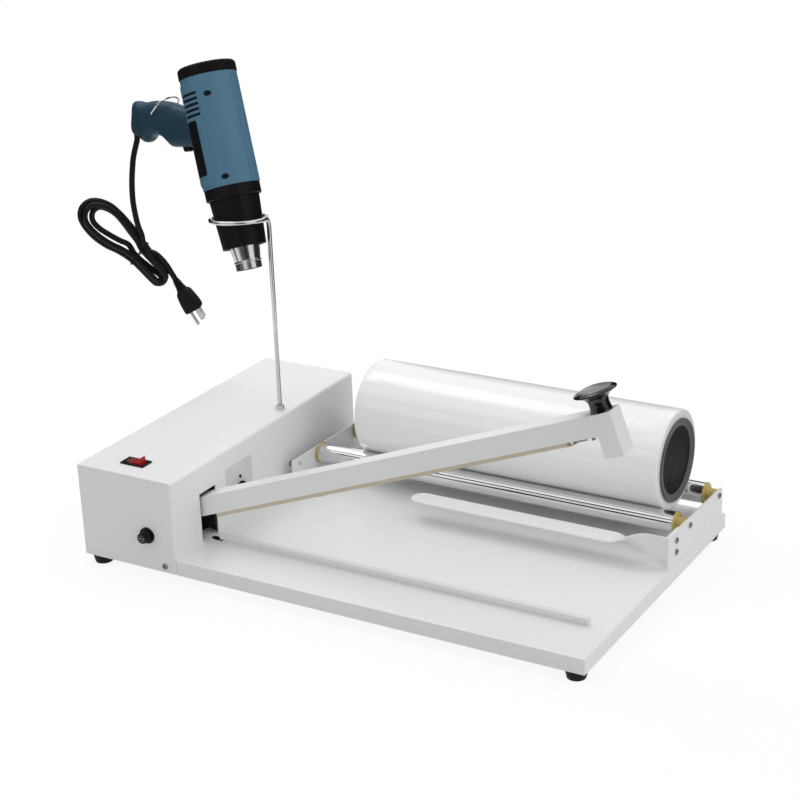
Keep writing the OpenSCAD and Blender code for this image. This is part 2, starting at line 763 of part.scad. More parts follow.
// Upside-down U on the deck: two cheeks beside the arm and a bridge that holds the spring
module pivot_bracket() {
  half = arm_w / 2 + cheek_gap;
  foot_z = base_h + cheek_t;
  at_part() color("gray") difference() {
    union() {
      for (s = [-1, 1]) {
        translate([0, arm_y + s * (half + cheek_t / 2) + cheek_t / 2, 0]) rotate([90, 0, 0])
          linear_extrude(cheek_t) polygon([
            [pivot_x - cheek_back, base_h], [pivot_x + cheek_front, base_h],
            [pivot_x + cheek_front, bridge_z + cheek_t], [pivot_x + bridge_from, bridge_z + cheek_t],
            [pivot_x - cheek_back, pivot_z + cheek_back]]);
        translate([pivot_x - cheek_back, arm_y + s * (half + cheek_foot / 2 + cheek_t / 2) - cheek_foot / 2 - cheek_t / 2, base_h])
          cube([cheek_back + cheek_front, cheek_foot + cheek_t, cheek_t]);
      }
      translate([pivot_x + bridge_from, arm_y - half - cheek_t, bridge_z])
        cube([cheek_front - bridge_from, 2 * (half + cheek_t), cheek_t]);
    }
    translate([pivot_x, arm_y, pivot_z]) rotate([90, 0, 0])
      cylinder(r = pin_d / 2 + run_fit, h = 2 * half + 20, center = true);
  }
}

module pivot_pin() {
  half = arm_w / 2 + cheek_gap + cheek_t;
  at_part() color("silver") translate([pivot_x, arm_y, pivot_z]) rotate([90, 0, 0]) {
    cylinder(d = pin_d, h = 2 * half + 6, center = true);
    translate([0, 0, half + 0.2]) cylinder(d = pin_d + 6, h = 2.8);
    translate([0, 0, -half - 3]) cylinder(d = pin_d + 5, h = 1.2);
  }
}

// Where the arm's lug ends at rest
spring_x = pivot_x + lug_at * cos(arm_open) - (arm_h / 2 + lug_h) * sin(arm_open);
spring_z0 = pivot_z + (lug_at + 5) * sin(arm_open) + (arm_h / 2 + lug_h) * cos(arm_open) + pass_gap;
spring_turns = 8;
spring_r = 5.5;
spring_wire = 0.8;
spring_z1 = bridge_z - spring_wire - pass_gap / 3;

module return_spring() {
  steps = spring_turns * 12;
  height = spring_z1 - spring_z0;
  at_part() color("silver") translate([spring_x, arm_y, spring_z0]) tube([for (i = [0 : steps])
    let (s = i / steps, r = spring_r * min(1, 14 * s, 14 * (1 - s)))
    [r * cos(360 * spring_turns * s), r * sin(360 * spring_turns * s), height * s]],
    spring_wire, 6, [1, 0, 0]);
}

// ELECTRICS

module transformer() {
  at_part() color("dimgray") translate([core_x, core_y, base_h]) {
    translate([-core_l / 2, -core_w / 2, 0]) cube([core_l, core_w, core_h]);
    translate([-coil_l / 2, -coil_w / 2, (core_h - coil_h) / 2]) cube([coil_l, coil_w, coil_h]);
    translate([-core_l / 2, -coil_w / 2 - 1, 0]) cube([core_l, coil_w + 2, core_foot]);
  }
}

module switch_frame() {
  deep = 20;
  at_part() color([0.07, 0.07, 0.07]) translate([switch_x, switch_y, housing_top]) difference() {
    union() {
      translate([-switch_l / 2, -switch_w / 2, 0]) cube([switch_l, switch_w, 2]);
      translate([-switch_l / 2 + 2, -switch_w / 2 + 2, -deep]) cube([switch_l - 4, switch_w - 4, deep]);
    }
    translate([-rocker_l / 2 - 0.9, -rocker_w / 2 - pass_gap, -10]) cube([rocker_l + 1.8, rocker_w + 2 * pass_gap, 20]);
    translate([0, 0, rocker_z - housing_top - 3]) rotate([90, 0, 0])
      cylinder(r = 1 + run_fit, h = rocker_w + 2.4, center = true, $fn = 24);
  }
}

// Rocker: a shallow V on top, round below, on two short stub axles
module rocker() {
  at_part() color("red") translate([switch_x, switch_y, rocker_z - 3]) rotate([0, -rocker_tilt, 0]) {
    rotate([90, 0, 0]) linear_extrude(rocker_w, center = true) polygon(concat(
      [[-rocker_l / 2, -0.5], [-rocker_l / 2 + 6, -4], [rocker_l / 2 - 6, -4], [rocker_l / 2, -0.5]],
      [[rocker_l / 2, 6.4], [rocker_l / 2 - 1, 7], [5, 5.2], [0, 4.8], [-5, 5.2],
       [-rocker_l / 2 + 1, 7], [-rocker_l / 2, 6.4]]));
    rotate([90, 0, 0]) cylinder(r = 1, h = rocker_w + 2, center = true, $fn = 24);
  }
}

module indicator_lamp() {
  at_part() color("darkred") translate([housing_w, lamp_y, lamp_z]) rotate([0, 90, 0]) {
    translate([0, 0, -10]) cylinder(r = lamp_r, h = 10.6, $fn = 32);
    translate([0, 0, 0.6]) sphere(r = lamp_r, $fn = 32);
    translate([0, 0, -sheet_t - 1.4]) cylinder(r = lamp_r + 1, h = 1.4, $fn = 32);
  }
}

module timer_control() {
  at_part() color("dimgray") translate([housing_w - sheet_t, timer_y, timer_z]) {
    translate([-26, -20, -20]) cube([26, 40, 12 + 20]);
    rotate([0, 90, 0]) {
      cylinder(r = 5, h = sheet_t + 0.5);
      cylinder(r = 3, h = sheet_t + timer_l - 3);
    }
  }
}

module timer_knob() {
  at_part() color([0.06, 0.06, 0.06]) translate([housing_w + 0.8, timer_y, timer_z]) rotate([0, 90, 0])
    difference() {
      rotate_extrude($fn = 64) polygon([
        [3 + run_fit, 0], [timer_d / 2, 0], [timer_d / 2, 2], [timer_d / 2 - 1.4, 3],
        [timer_d / 2 - 2.2, timer_l - 1], [timer_d / 2 - 3.2, timer_l], [0, timer_l],
        [0, timer_l - 2.6], [3 + run_fit, timer_l - 2.6]]);
      translate([-timer_d / 2, -0.6, timer_l - 0.8]) cube([timer_d / 2, 1.2, 2]);
    }
}

module fuse_holder() {
  at_part() color([0.08, 0.08, 0.08]) translate([fuse_x, 0, fuse_z]) rotate([90, 0, 0]) difference() {
    union() {
      cylinder(r = fuse_r + 2.3, h = 2.5);
      translate([0, 0, -34]) cylinder(r = 7, h = 34);
      translate([0, 0, -sheet_t - 3]) cylinder(r = 9.5, h = 3, $fn = 6);
    }
    translate([0, 0, -30]) cylinder(r = 5 + 2 * run_fit, h = 34);
  }
}

module fuse_cap() {
  at_part() color([0.05, 0.05, 0.05]) translate([fuse_x, 0, fuse_z]) rotate([90, 0, 0]) {
    translate([0, 0, -26]) cylinder(r = 5, h = 30);
    translate([0, 0, 2.6]) cylinder(r1 = fuse_r, r2 = fuse_r - 2, h = fuse_l);
    translate([0, 0, 2.6 + fuse_l / 2]) cube([2.4, 2 * fuse_r - 1.6, fuse_l], center = true);
  }
}

module cord_gland() {
  at_part() color([0.08, 0.08, 0.08]) translate([gland_x, base_d, gland_z]) rotate([-90, 0, 0]) difference() {
    union() {
      translate([0, 0, -sheet_t - 6]) cylinder(r = gland_r, h = sheet_t + 6);
      cylinder(r1 = gland_r + 3, r2 = gland_r - 1, h = 12);
      translate([0, 0, -sheet_t - 4]) cylinder(r = gland_r + 3, h = 4, $fn = 6);
    }
    translate([0, 0, -12]) cylinder(r = cord_r + 0.5, h = 30);
  }
}

// RING STAND

function ring_point(a) =
  ring_at + turned([ring_r * cos(a), ring_r * sin(a), 0], [ring_lean, 0, ring_turn]);
function bend(p, q, r, s) = (1 - s) * (1 - s) * p + 2 * s * (1 - s) * q + s * s * r;

module stand_rod() {
  elbow = 14;
  top = [rod_at_x, rod_y, ring_z - elbow];
  at_part() color("silver") {
    translate([rod_at_x, rod_y, base_h]) cylinder(d = rod_d, h = ring_z - elbow - base_h);
    tube(concat(
      [for (s = [0 : 0.2 : 0.81]) bend(top, [rod_at_x, rod_y, ring_z], ring_point(-22), s)],
      [for (a = [-22 : -14 : -346]) ring_point(a)]), rod_d / 2, 12, [1, 0, 0]);
  }
}

module rod_collar() {
  at_part() color("dimgray") translate([rod_at_x, rod_y, housing_top]) difference() {
    cylinder(r = rod_d / 2 + 3, h = 7);
    translate([0, 0, -cut]) cylinder(r = rod_d / 2 + run_fit, h = 7 + 2 * cut);
  }
}

// HEAT GUN

// Side view of the handle: [distance along -X, underside, top, half width]
grip_stations = [
  [25, 108, 152, 15], [45, 107, 160, 17], [60, 108, 166, 17], [75, 113, 172, 16.5],
  [90, 126, 178.5, 15.5], [105, 136.5, 182.5, 16], [120, 138, 184, 17], [130, 134, 184.5, 17],
  [140, 134.5, 184.5, 16.5], [147, 141, 183, 14], [151, 150, 177, 8]];

// Half cross-section: a soft rounded rectangle, from the underside to the top
function grip_half(st, n = 12) =
  let (mid = (st[1] + st[2]) / 2, tall = (st[2] - st[1]) / 2, wide = st[3] * grip_w / 17)
  [for (i = [0 : n]) let (a = -90 + 180 * i / n, p = 0.75)
    [-st[0], wide * pow(abs(cos(a)), p), mid + tall * sign(sin(a)) * pow(abs(sin(a)), p)]];

module grip_side() {
  n = 12;
  m = n + 1;
  count = len(grip_stations);
  pts = [for (st = grip_stations) each grip_half(st, n)];
  walls = [for (j = [0 : count - 2]) for (i = [0 : n])
    let (a = j * m + i, b = j * m + (i + 1) % m) [a, b, b + m, a + m]];
  near_end = [for (i = [n : -1 : 0]) i];
  far_end = [for (i = [0 : n]) (count - 1) * m + i];
  polyhedron(points = pts, faces = concat(walls, [near_end, far_end]), convexity = 6);
}

// Wedge of a ring about the barrel's axis
module ring_wedge(r0, r1, t0, t1, a0, a1) {
  rotate([0, 0, a0]) rotate_extrude(angle = a1 - a0, $fn = 96)
    translate([r0, t0]) square([r1 - r0, t1 - t0]);
}

vent_a0 = 77;
vent_a1 = 122;
panel_t = [138, 184];

module relief_axis() {
  translate(exit_local) rotate([-gun_turn.x, 0, 0]) rotate([0, -gun_turn.y, 0]) rotate([0, 0, -gun_turn.z]) children();
}

// Half of the moulded housing, on the +Y side of the parting plane
module gun_shell() {
  difference() {
    union() {
      rotate_extrude(angle = 180, $fn = 96)
        polygon([[0, barrel_t0], [barrel_r, barrel_t0], [barrel_r, barrel_t1], [0, barrel_t1]]);
      grip_side();
      ring_wedge(barrel_r - 1, barrel_r + 0.5, barrel_t0, barrel_t1, 0, 11.5);
      intersection() {
        ring_wedge(barrel_r - 1, barrel_r + 0.9, panel_t[0], panel_t[1], 76, 126);
        rotate([0, 0, 101]) translate([0, 0, panel_t[1] - 16]) rotate([0, 90, 0]) linear_extrude(60)
          union() {
            circle(r = 16, $fn = 48);
            translate([0, -16]) square([60, 32]);
          }
      }
    }
    for (i = [0 : 4]) {
      ring_wedge(barrel_r - 1.6, barrel_r + 3, 140 + 7 * i, 143.6 + 7 * i, vent_a0, vent_a1);
    }
    for (t = [55.5, 165.4]) {
      rotate([0, 0, 56.6]) translate([barrel_r - 4, 0, t]) rotate([0, 90, 0]) cylinder(r = 3, h = 20);
    }
    translate([trigger_x[0] - pass_gap, -trigger_w / 2 - pass_gap, trigger_t[0] - 10])
      cube([trigger_x[1] - trigger_x[0] + 2 * pass_gap, trigger_w + 2 * pass_gap,
            trigger_t[1] - trigger_t[0] + trigger_travel + 10 + 1]);
    translate(bail_foot) rotate([90, 0, 0]) cylinder(r = bail_wire / 2 + run_fit, h = 2 * grip_w + 10, center = true);
  }
}

module relief_pocket() {
  relief_axis() translate([0, 0, -20]) cylinder(r = relief_r + hole_fit, h = relief_in + 20 + hole_fit);
}

module gun_shell_left() {
  gun_frame() color("steelblue") difference() {
    mirror([0, 1, 0]) gun_shell();
    relief_pocket();
  }
}

module gun_shell_right() {
  gun_frame() color("steelblue") difference() {
    gun_shell();
    relief_pocket();
  }
}

// Ribbed cap: straight ribs all round that run out where the rear edge is rounded
function cap_ring(r, t, ribs = 40) =
  [for (i = [0 : ribs - 1]) each [
    for (q = [[0, -1.6], [0.22, 0], [0.5, 0], [0.72, -1.6]])
      let (a = (i + q[0]) * 360 / ribs, d = min(r, barrel_r + 0.8 + q[1])) [d * cos(a), d * sin(a), t]]];

module gun_rear_cap() {
  round = 5;
  flat_r = barrel_r + 0.8 - round;
  rings = concat([cap_ring(barrel_r + 0.8, 0)],
    [for (a = [0 : 22.5 : 90]) cap_ring(flat_r + round * cos(a), cap_l - round + round * sin(a))]);
  m = len(rings[0]);
  walls = [for (j = [0 : len(rings) - 2]) for (i = [0 : m - 1])
    let (k = (i + 1) % m)
    each [[j * m + i, (j + 1) * m + k, j * m + k], [j * m + i, (j + 1) * m + i, (j + 1) * m + k]]];
  front = [for (i = [0 : m - 1]) i];
  back = [for (i = [m - 1 : -1 : 0]) (len(rings) - 1) * m + i];
  gun_frame() color([0.05, 0.05, 0.05]) translate([0, 0, barrel_t1])
    polyhedron(points = [for (r = rings) each r], faces = concat(walls, [front, back]), convexity = 4);
}

module gun_collar() {
  gun_frame() color([0.06, 0.06, 0.06]) rotate_extrude($fn = 96) polygon([
    [nozzle_r + hole_fit, collar_t0], [collar_r - 1, collar_t0], [collar_r, collar_t0 + 1],
    [collar_r, barrel_t0], [nozzle_r + hole_fit, barrel_t0]]);
}

module nozzle_guard() {
  wall = 1.5;
  gun_frame() color([0.08, 0.08, 0.08]) rotate_extrude($fn = 96) polygon([
    [guard_r - wall, collar_t0], [guard_r, collar_t0], [guard_tip_r, guard_t0],
    [guard_tip_r - 3, guard_t0], [guard_tip_r - 3, guard_t0 + wall], [guard_tip_r - wall, guard_t0 + wall]]);
}

module nozzle() {
  wall = 1.5;
  tip = guard_t0 - nozzle_out;
  gun_frame() color("silver") rotate_extrude($fn = 72) polygon([
    [nozzle_tip_r - wall, tip], [nozzle_tip_r, tip], [nozzle_tip_r, tip + 9], [nozzle_tip_r + 1, tip + 9.6],
    [nozzle_tip_r + 1, tip + 11.4], [nozzle_tip_r, tip + 12], [nozzle_r, guard_t0], [nozzle_r, barrel_t0],
    [nozzle_r - wall, barrel_t0], [nozzle_r - wall, guard_t0], [nozzle_tip_r - wall, tip + 12]]);
}

module trigger() {
  long = trigger_x[1] - trigger_x[0];
  tall = trigger_t[1] - trigger_t[0];
  gun_frame() color([0.05, 0.05, 0.05]) translate([trigger_x[0], 0, trigger_t[0]]) rotate([90, 0, 0])
    linear_extrude(trigger_w, center = true) polygon([
      [0, 3.5], [2, 1.4], [long / 2, 0.6], [long - 2, 0], [long, 1.5], [long, tall], [0, tall]]);
}

// Wire bail: two feet in the handle's sides and a hoop over the handle
module hanger_bail() {
  side = grip_w + 3;
  lift = 31;
  gun_frame() color("silver") translate(bail_foot) rotate([0, -30, 0]) tube(concat(
    [[0, -grip_w + 3, 0], [0, -side + 1, 0], [1, -side, 0.6]],
    [[lift - side * 0.8, -side, 0.6]],
    [for (a = [-72 : 18 : 72]) [lift - side * 0.8 + side * 0.8 * cos(a), side * sin(a), 0.6]],
    [[lift - side * 0.8, side, 0.6]],
    [[1, side, 0.6], [0, side - 1, 0], [0, grip_w - 3, 0]]), bail_wire / 2, 8, [0, 0, 1]);
}

module strain_relief() {
  gun_frame() color([0.08, 0.08, 0.08]) relief_axis() {
    translate([0, 0, -relief_below]) cylinder(r1 = relief_r - 0.8, r2 = relief_r, h = relief_below);
    cylinder(r = relief_r, h = relief_in);
  }
}

// CORD

function in_plane(route) = [for (p = route) [p.x, 0, p.y]];

module cord_lead() {
  cord_frame() color([0.05, 0.05, 0.05]) tube(in_plane(lead_route), cord_r, 10);
}

module cord_tail() {
  cord_frame() color([0.05, 0.05, 0.05]) tube(in_plane(tail_route), cord_r, 10);
}

module hank_outline() {
  hull() {
    for (c = hank_upper) translate([c[0], c[1]]) circle(r = c[2], $fn = 32);
  }
  hull() {
    for (c = hank_lower) translate([c[0], c[1]]) circle(r = c[2], $fn = 32);
  }
}

module cord_hank() {
  cord_frame() color([0.05, 0.05, 0.05]) rotate([90, 0, 0]) linear_extrude(hank_t, center = true) hank_outline();
}

module hank_tie() {
  at = hank_lower[0];
  cord_frame() color([0.1, 0.1, 0.1]) translate([at[0], 0, at[1]]) rotate([0, tie_turn, 0]) difference() {
    cube([tie_w, hank_t + 4, 2 * at[2] + 5], center = true);
    cube([tie_w + cut, hank_t + 1, 2 * at[2] + 2], center = true);
  }
}

module plug_frame() {
  cord_frame() translate([plug_at.x, 0, plug_at.y]) rotate([0, plug_turn, 0]) children();
}

module plug_body() {
  plug_frame() color([0.05, 0.05, 0.05]) {
    hull() {
      for (x = [-1, 1]) {
        for (y = [-1, 1]) {
          translate([x * (plug_w / 2 - 4), y * (plug_t / 2 - 4), 0]) cylinder(r = 4, h = plug_l * 0.45, $fn = 24);
          translate([x * (plug_w / 3 - 3), y * (plug_t / 3 - 3), 0]) cylinder(r = 3, h = plug_l, $fn = 24);
        }
      }
    }
    translate([0, 0, plug_l]) cylinder(r1 = 7, r2 = cord_r + 0.8, h = plug_relief_l);
  }
}

module plug_prongs() {
  plug_frame() color("silver") {
    for (y = [-6.35, 6.35]) {
      translate([4.5, y, -17.4]) difference() {
        translate([-3.15, -0.75, 0]) cube([6.3, 1.5, 17.4]);
        translate([0, 0, 4]) rotate([90, 0, 0]) cylinder(r = 1.5, h = 6, center = true, $fn = 24);
      }
    }
    translate([-7.4, 0, -21]) cylinder(r = 2.4, h = 21, $fn = 32);
    translate([-7.4, 0, -21]) sphere(r = 2.4, $fn = 32);
  }
}

base_pan();
bottom_plate();
housing_cover();
foot(foot_x, foot_y);  // foot_front_left
foot(base_l - foot_x, foot_y);  // foot_front_right
foot(foot_x, base_d - foot_y);  // foot_back_left
foot(base_l - foot_x, base_d - foot_y);  // foot_back_right
seal_bar();
seal_pad();
left_bracket();
right_bracket();
film_bar();
machine_screws();
axle(front_y);  // front_axle
axle(rear_y);  // rear_axle
stand_rod();
rod_collar();
switch_frame();
rocker();
indicator_lamp();
timer_control();
timer_knob();
fuse_holder();
fuse_cap();
cord_gland();
transformer();
pivot_bracket();
pivot_pin();
return_spring();
arm_tube();
arm_leg();
arm_strip();
wire_clamp();
handle_knob();
knob_cap();
roller(front_y);  // front_roller
roller(rear_y);  // rear_roller
cap_left(front_y);  // front_cap_left
cap_right(front_y);  // front_cap_right
cap_left(rear_y);  // rear_cap_left
cap_right(rear_y);  // rear_cap_right
film_roll();
film_core();
core_plug_left();
core_plug_right();
gun_shell_left();
gun_shell_right();
gun_rear_cap();
gun_collar();
nozzle_guard();
nozzle();
trigger();
hanger_bail();
strain_relief();
cord_lead();
cord_hank();
cord_tail();
hank_tie();
plug_body();
plug_prongs();
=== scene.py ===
# %% [markdown]
# A bench bar sealer, dressed for a catalogue picture.
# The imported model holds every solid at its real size.
# This lesson adds what a camera sees: the finish of each surface, the cord with its turns,
# the screws, the film's layers and the moulded skin of the heat gun.
# Every length below is in millimetres until it is handed to Blender, which works in metres.

# %% Load the frame
import math

import bmesh
import bpy
from mathutils import Euler, Matrix, Vector


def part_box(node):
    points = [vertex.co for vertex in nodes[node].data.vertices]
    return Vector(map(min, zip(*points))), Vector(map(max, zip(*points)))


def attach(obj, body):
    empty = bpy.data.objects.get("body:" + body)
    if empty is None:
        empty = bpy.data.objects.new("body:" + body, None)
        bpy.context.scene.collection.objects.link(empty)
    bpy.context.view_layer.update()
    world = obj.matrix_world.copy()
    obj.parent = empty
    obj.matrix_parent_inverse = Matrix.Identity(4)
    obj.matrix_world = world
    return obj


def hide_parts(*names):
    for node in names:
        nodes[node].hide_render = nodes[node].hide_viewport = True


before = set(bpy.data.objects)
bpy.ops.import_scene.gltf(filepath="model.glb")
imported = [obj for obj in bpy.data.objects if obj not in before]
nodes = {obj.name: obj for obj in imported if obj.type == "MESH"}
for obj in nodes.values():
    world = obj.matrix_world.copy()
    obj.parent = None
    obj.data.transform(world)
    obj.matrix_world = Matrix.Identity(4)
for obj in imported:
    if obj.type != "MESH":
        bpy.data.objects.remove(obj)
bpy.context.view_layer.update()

# %% [markdown]
# The drawing measures from the base's front left bottom corner, while the part's origin is
# under the front left foot. Three frames save a lot of arithmetic: the base's own, the arm's,
# which is tilted open about its pivot, and the heat gun's, which leans in its ring.
# A Matrix that also scales by a thousandth turns millimetres in a frame into Blender's metres.
# The cord hangs in an upright plane of its own, so it gets a fourth frame: across, depth, height.

# %% Frames of the base, the arm, the gun and the cord's plane
MM = 0.001
ORIGIN = Vector((17, 15, -13))


def frame_at(place, turn=(0, 0, 0)):
    """Millimetres in a frame at that place and turn, to metres in the part."""
    spin = Euler([math.radians(a) for a in turn], "XYZ").to_matrix().to_4x4()
    return Matrix.Scale(MM, 4) @ Matrix.Translation(Vector(place) - ORIGIN) @ spin


BASE = frame_at((0, 0, 0))
ARM_OPEN = 20.65
ARM = frame_at((90, 77, 48.4), (0, -ARM_OPEN, 0))
RING_AT = Vector((99.91, 254.2, 399.5))
GUN_TURN = (-9.5, -19.2, -4)
GUN = frame_at(RING_AT, GUN_TURN)
CORD_EXIT = (-149.5, 0, 155)
CORD_TURN = 31
exit_point = GUN @ Vector(CORD_EXIT)
CORD = Matrix.Translation((exit_point.x, exit_point.y, 0)) @ Matrix.Rotation(
    math.radians(CORD_TURN), 4, "Z") @ Matrix.Scale(MM, 4)
CORD_Z0 = ORIGIN.z
print("cord leaves the gun at", [round(v, 4) for v in exit_point])

# %% [markdown]
# The camera comes first, because everything else is judged through it.
# A long lens from a little above and to the right flattens the machine, as in a catalogue.
# Its place was found by lining up the corners of the base and the housing.

# %% Camera
CAMERA_AT = (1.49967, -1.73076, 1.09364)
CAMERA_AZIMUTH, CAMERA_ELEVATION, CAMERA_ROLL = 30.901, 21.377, -2.141
LENS = 85.086


def add_camera():
    az, el = math.radians(CAMERA_AZIMUTH), math.radians(CAMERA_ELEVATION)
    back = Vector((math.sin(az) * math.cos(el), -math.cos(az) * math.cos(el), math.sin(el)))
    data = bpy.data.cameras.new("camera")
    data.lens = LENS
    data.sensor_width = 36
    data.clip_end = 60
    camera = bpy.data.objects.new("camera", data)
    bpy.context.scene.collection.objects.link(camera)
    turn = (-back).to_track_quat("-Z", "Y").to_matrix().to_4x4()
    roll = Matrix.Rotation(math.radians(CAMERA_ROLL), 4, "Z")
    camera.matrix_world = Matrix.Translation(CAMERA_AT) @ turn @ roll
    bpy.context.scene.camera = camera
    return camera


camera = add_camera()
print("camera at", [round(v, 3) for v in camera.location])

# %% [markdown]
# A shape in this lesson is a pair: a list of points and a list of faces that index them.
# Blender could join meshes with its own operators, but lists are quicker and easy to print.
# One function turns any such pair into a piece that rides on a body, so that it follows the
# machine when a joint moves.

# %% From points and faces to a piece
def piece(name, points, faces, frame_matrix, body, slot, finish, crease=35):
    """A mesh from points in a frame; edges sharper than crease degrees stay crisp."""
    mesh = bpy.data.meshes.new(name)
    mesh.from_pydata([tuple(frame_matrix @ Vector(p)) for p in points], [], faces)
    work = bmesh.new()
    work.from_mesh(mesh)
    bmesh.ops.remove_doubles(work, verts=work.verts, dist=1e-7)
    bmesh.ops.recalc_face_normals(work, faces=work.faces)
    work.to_mesh(mesh)
    work.free()
    mesh.shade_smooth()
    mesh.set_sharp_from_angle(angle=math.radians(crease))
    made = bpy.data.objects.new(name, mesh)
    bpy.context.scene.collection.objects.link(made)
    made.data.materials.append(finish)
    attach(made, body)
    return made


def merge(*parts):
    """Joins (points, faces) pairs into one pair."""
    points, faces = [], []
    for more_points, more_faces in parts:
        base = len(points)
        points += list(more_points)
        faces += [tuple(i + base for i in f) for f in more_faces]
    return points, faces


def moved(shape, matrix):
    return [matrix @ Vector(p) for p in shape[0]], shape[1]


print("shapes can be made into pieces, merged and moved")

# %% [markdown]
# Most pieces are a profile turned about an axis, a section swept along a path, a straight
# prism, or rows of points that a formula bends. All but the first are rows with the same number
# of points in each, so the faces between the rows come from one function.

# %% Turned, swept and extruded shapes
def row_faces(count, rows):
    """Faces between closed rows of count points each, and over the first and the last."""
    last = rows - 1
    faces = [(j * count + k, j * count + (k + 1) % count,
              (j + 1) * count + (k + 1) % count, (j + 1) * count + k)
             for j in range(last) for k in range(count)]
    return faces + [tuple(range(count)), tuple(range(last * count, rows * count))]


def revolve(profile, steps, closed=False):
    """Turns (radius, height) points about Z; a radius of nought closes the end."""
    points = [(r * math.cos(2 * math.pi * k / steps), r * math.sin(2 * math.pi * k / steps), z)
              for r, z in profile for k in range(steps)]
    rows = len(profile) if closed else len(profile) - 1
    faces = []
    for j in range(rows):
        a, b = j * steps, (j + 1) % len(profile) * steps
        for k in range(steps):
            m = (k + 1) % steps
            faces.append((a + k, a + m, b + m, b + k))
    return points, faces


def sweep(path, section, first=(0, 1, 0.01)):
    """Carries a closed section along a path without twisting it."""
    path = [Vector(p) for p in path]
    last = len(path) - 1
    points, normal = [], Vector(first)
    for i, here in enumerate(path):
        ahead = (path[min(i + 1, last)] - path[max(i - 1, 0)]).normalized()
        normal = (normal - normal.dot(ahead) * ahead).normalized()
        side = ahead.cross(normal)
        points += [here + u * normal + v * side for u, v in section]
    return points, row_faces(len(points) // len(path), len(path))


def circle(radius, steps=12):
    return [(radius * math.cos(2 * math.pi * k / steps), radius * math.sin(2 * math.pi * k / steps))
            for k in range(steps)]


def arc(cx, cy, radius, start, end, steps=6):
    turns = [math.radians(start + (end - start) * i / steps) for i in range(steps + 1)]
    return [(cx + radius * math.cos(a), cy + radius * math.sin(a)) for a in turns]


def box_shape(low, high):
    x0, y0, z0 = low
    x1, y1, z1 = high
    points = [(x, y, z) for z in (z0, z1) for y in (y0, y1) for x in (x0, x1)]
    faces = [(0, 2, 3, 1), (4, 5, 7, 6), (0, 1, 5, 4), (2, 6, 7, 3), (0, 4, 6, 2), (1, 3, 7, 5)]
    return points, faces


def smooth_line(points, per_span):
    """A Catmull-Rom curve through the points, as a longer list of points."""
    p = [Vector(v) for v in points]
    p = [2 * p[0] - p[1]] + p + [2 * p[-1] - p[-2]]
    line = []
    for i in range(1, len(p) - 2):
        for k in range(per_span):
            t = k / per_span
            a, b, c, d = p[i - 1:i + 3]
            line.append(0.5 * (2 * b + (c - a) * t + (2 * a - 5 * b + 4 * c - d) * t * t
                               + (3 * b - a - 3 * c + d) * t ** 3))
    return line + [p[-2]]


def extrude(outline, low, high):
    """A straight prism over an outline in X and Y."""
    points = [(x, y, height) for height in (low, high) for x, y in outline]
    return points, row_faces(len(outline), 2)


print("a circle has", len(circle(1)), "points, and an arc has", len(arc(0, 0, 1, 0, 90)))

# %% [markdown]
# A finish is a small network of shader nodes. Written as nodes it is hard to read, so one
# class wraps a socket and lets Python arithmetic add the Math nodes: `1 - mask` or
# `noise * 0.2 + 0.1` then says what it means. Anything that isn't arithmetic comes from
# the one method `node`, which takes the settings first and the sockets after them.

# %% Arithmetic on sockets
class Wire:
    """An output socket in a finish, on which arithmetic adds Math nodes."""

    def __init__(self, tree, socket):
        self.tree = tree
        self.socket = socket

    def node(self, kind, settings=None, sockets=None, output=0):
        made = self.tree.nodes.new("ShaderNode" + kind)
        for key, value in (settings or {}).items():
            setattr(made, key, value)
        for key, value in (sockets or {}).items():
            if isinstance(value, Wire):
                self.tree.links.new(value.socket, made.inputs[key])
            else:
                made.inputs[key].default_value = value
        return Wire(self.tree, made.outputs[output])

    def math(self, operation, *terms):
        return self.node("Math", {"operation": operation}, dict(enumerate(terms)))

    def __add__(self, other):
        return self.math("ADD", self, other)

    def __mul__(self, other):
        return self.math("MULTIPLY", self, other)

    def __sub__(self, other):
        return self.math("SUBTRACT", self, other)

    def __rsub__(self, other):
        return self.math("SUBTRACT", other, self)

    def __truediv__(self, other):
        return self.math("DIVIDE", self, other)

    __radd__ = __add__
    __rmul__ = __mul__

    def limited(self):
        return self.node("Clamp", {}, {0: self})


def light_paths(tree):
    """1 for rays from the camera, a mirror or glass, which are shown pure white."""
    path = tree.nodes.new("ShaderNodeLightPath")
    rays = [Wire(tree, path.outputs[f"Is {kind} Ray"]) for kind in ("Camera", "Glossy", "Transmission")]
    return (rays[0] + rays[1] + rays[2]).limited()


print("sockets can be added, multiplied, subtracted and divided")

# %% [markdown]
# A real surface is never one flat colour: it has a base colour that drifts, a gloss that varies
# and a fine relief. So a finish is a material with three verbs: tint moves the colour by a mask,
# feed drives another socket, and bump raises the surface. Its patterns are drawn from the
# piece's own coordinates, so that they stay on the piece when it moves.

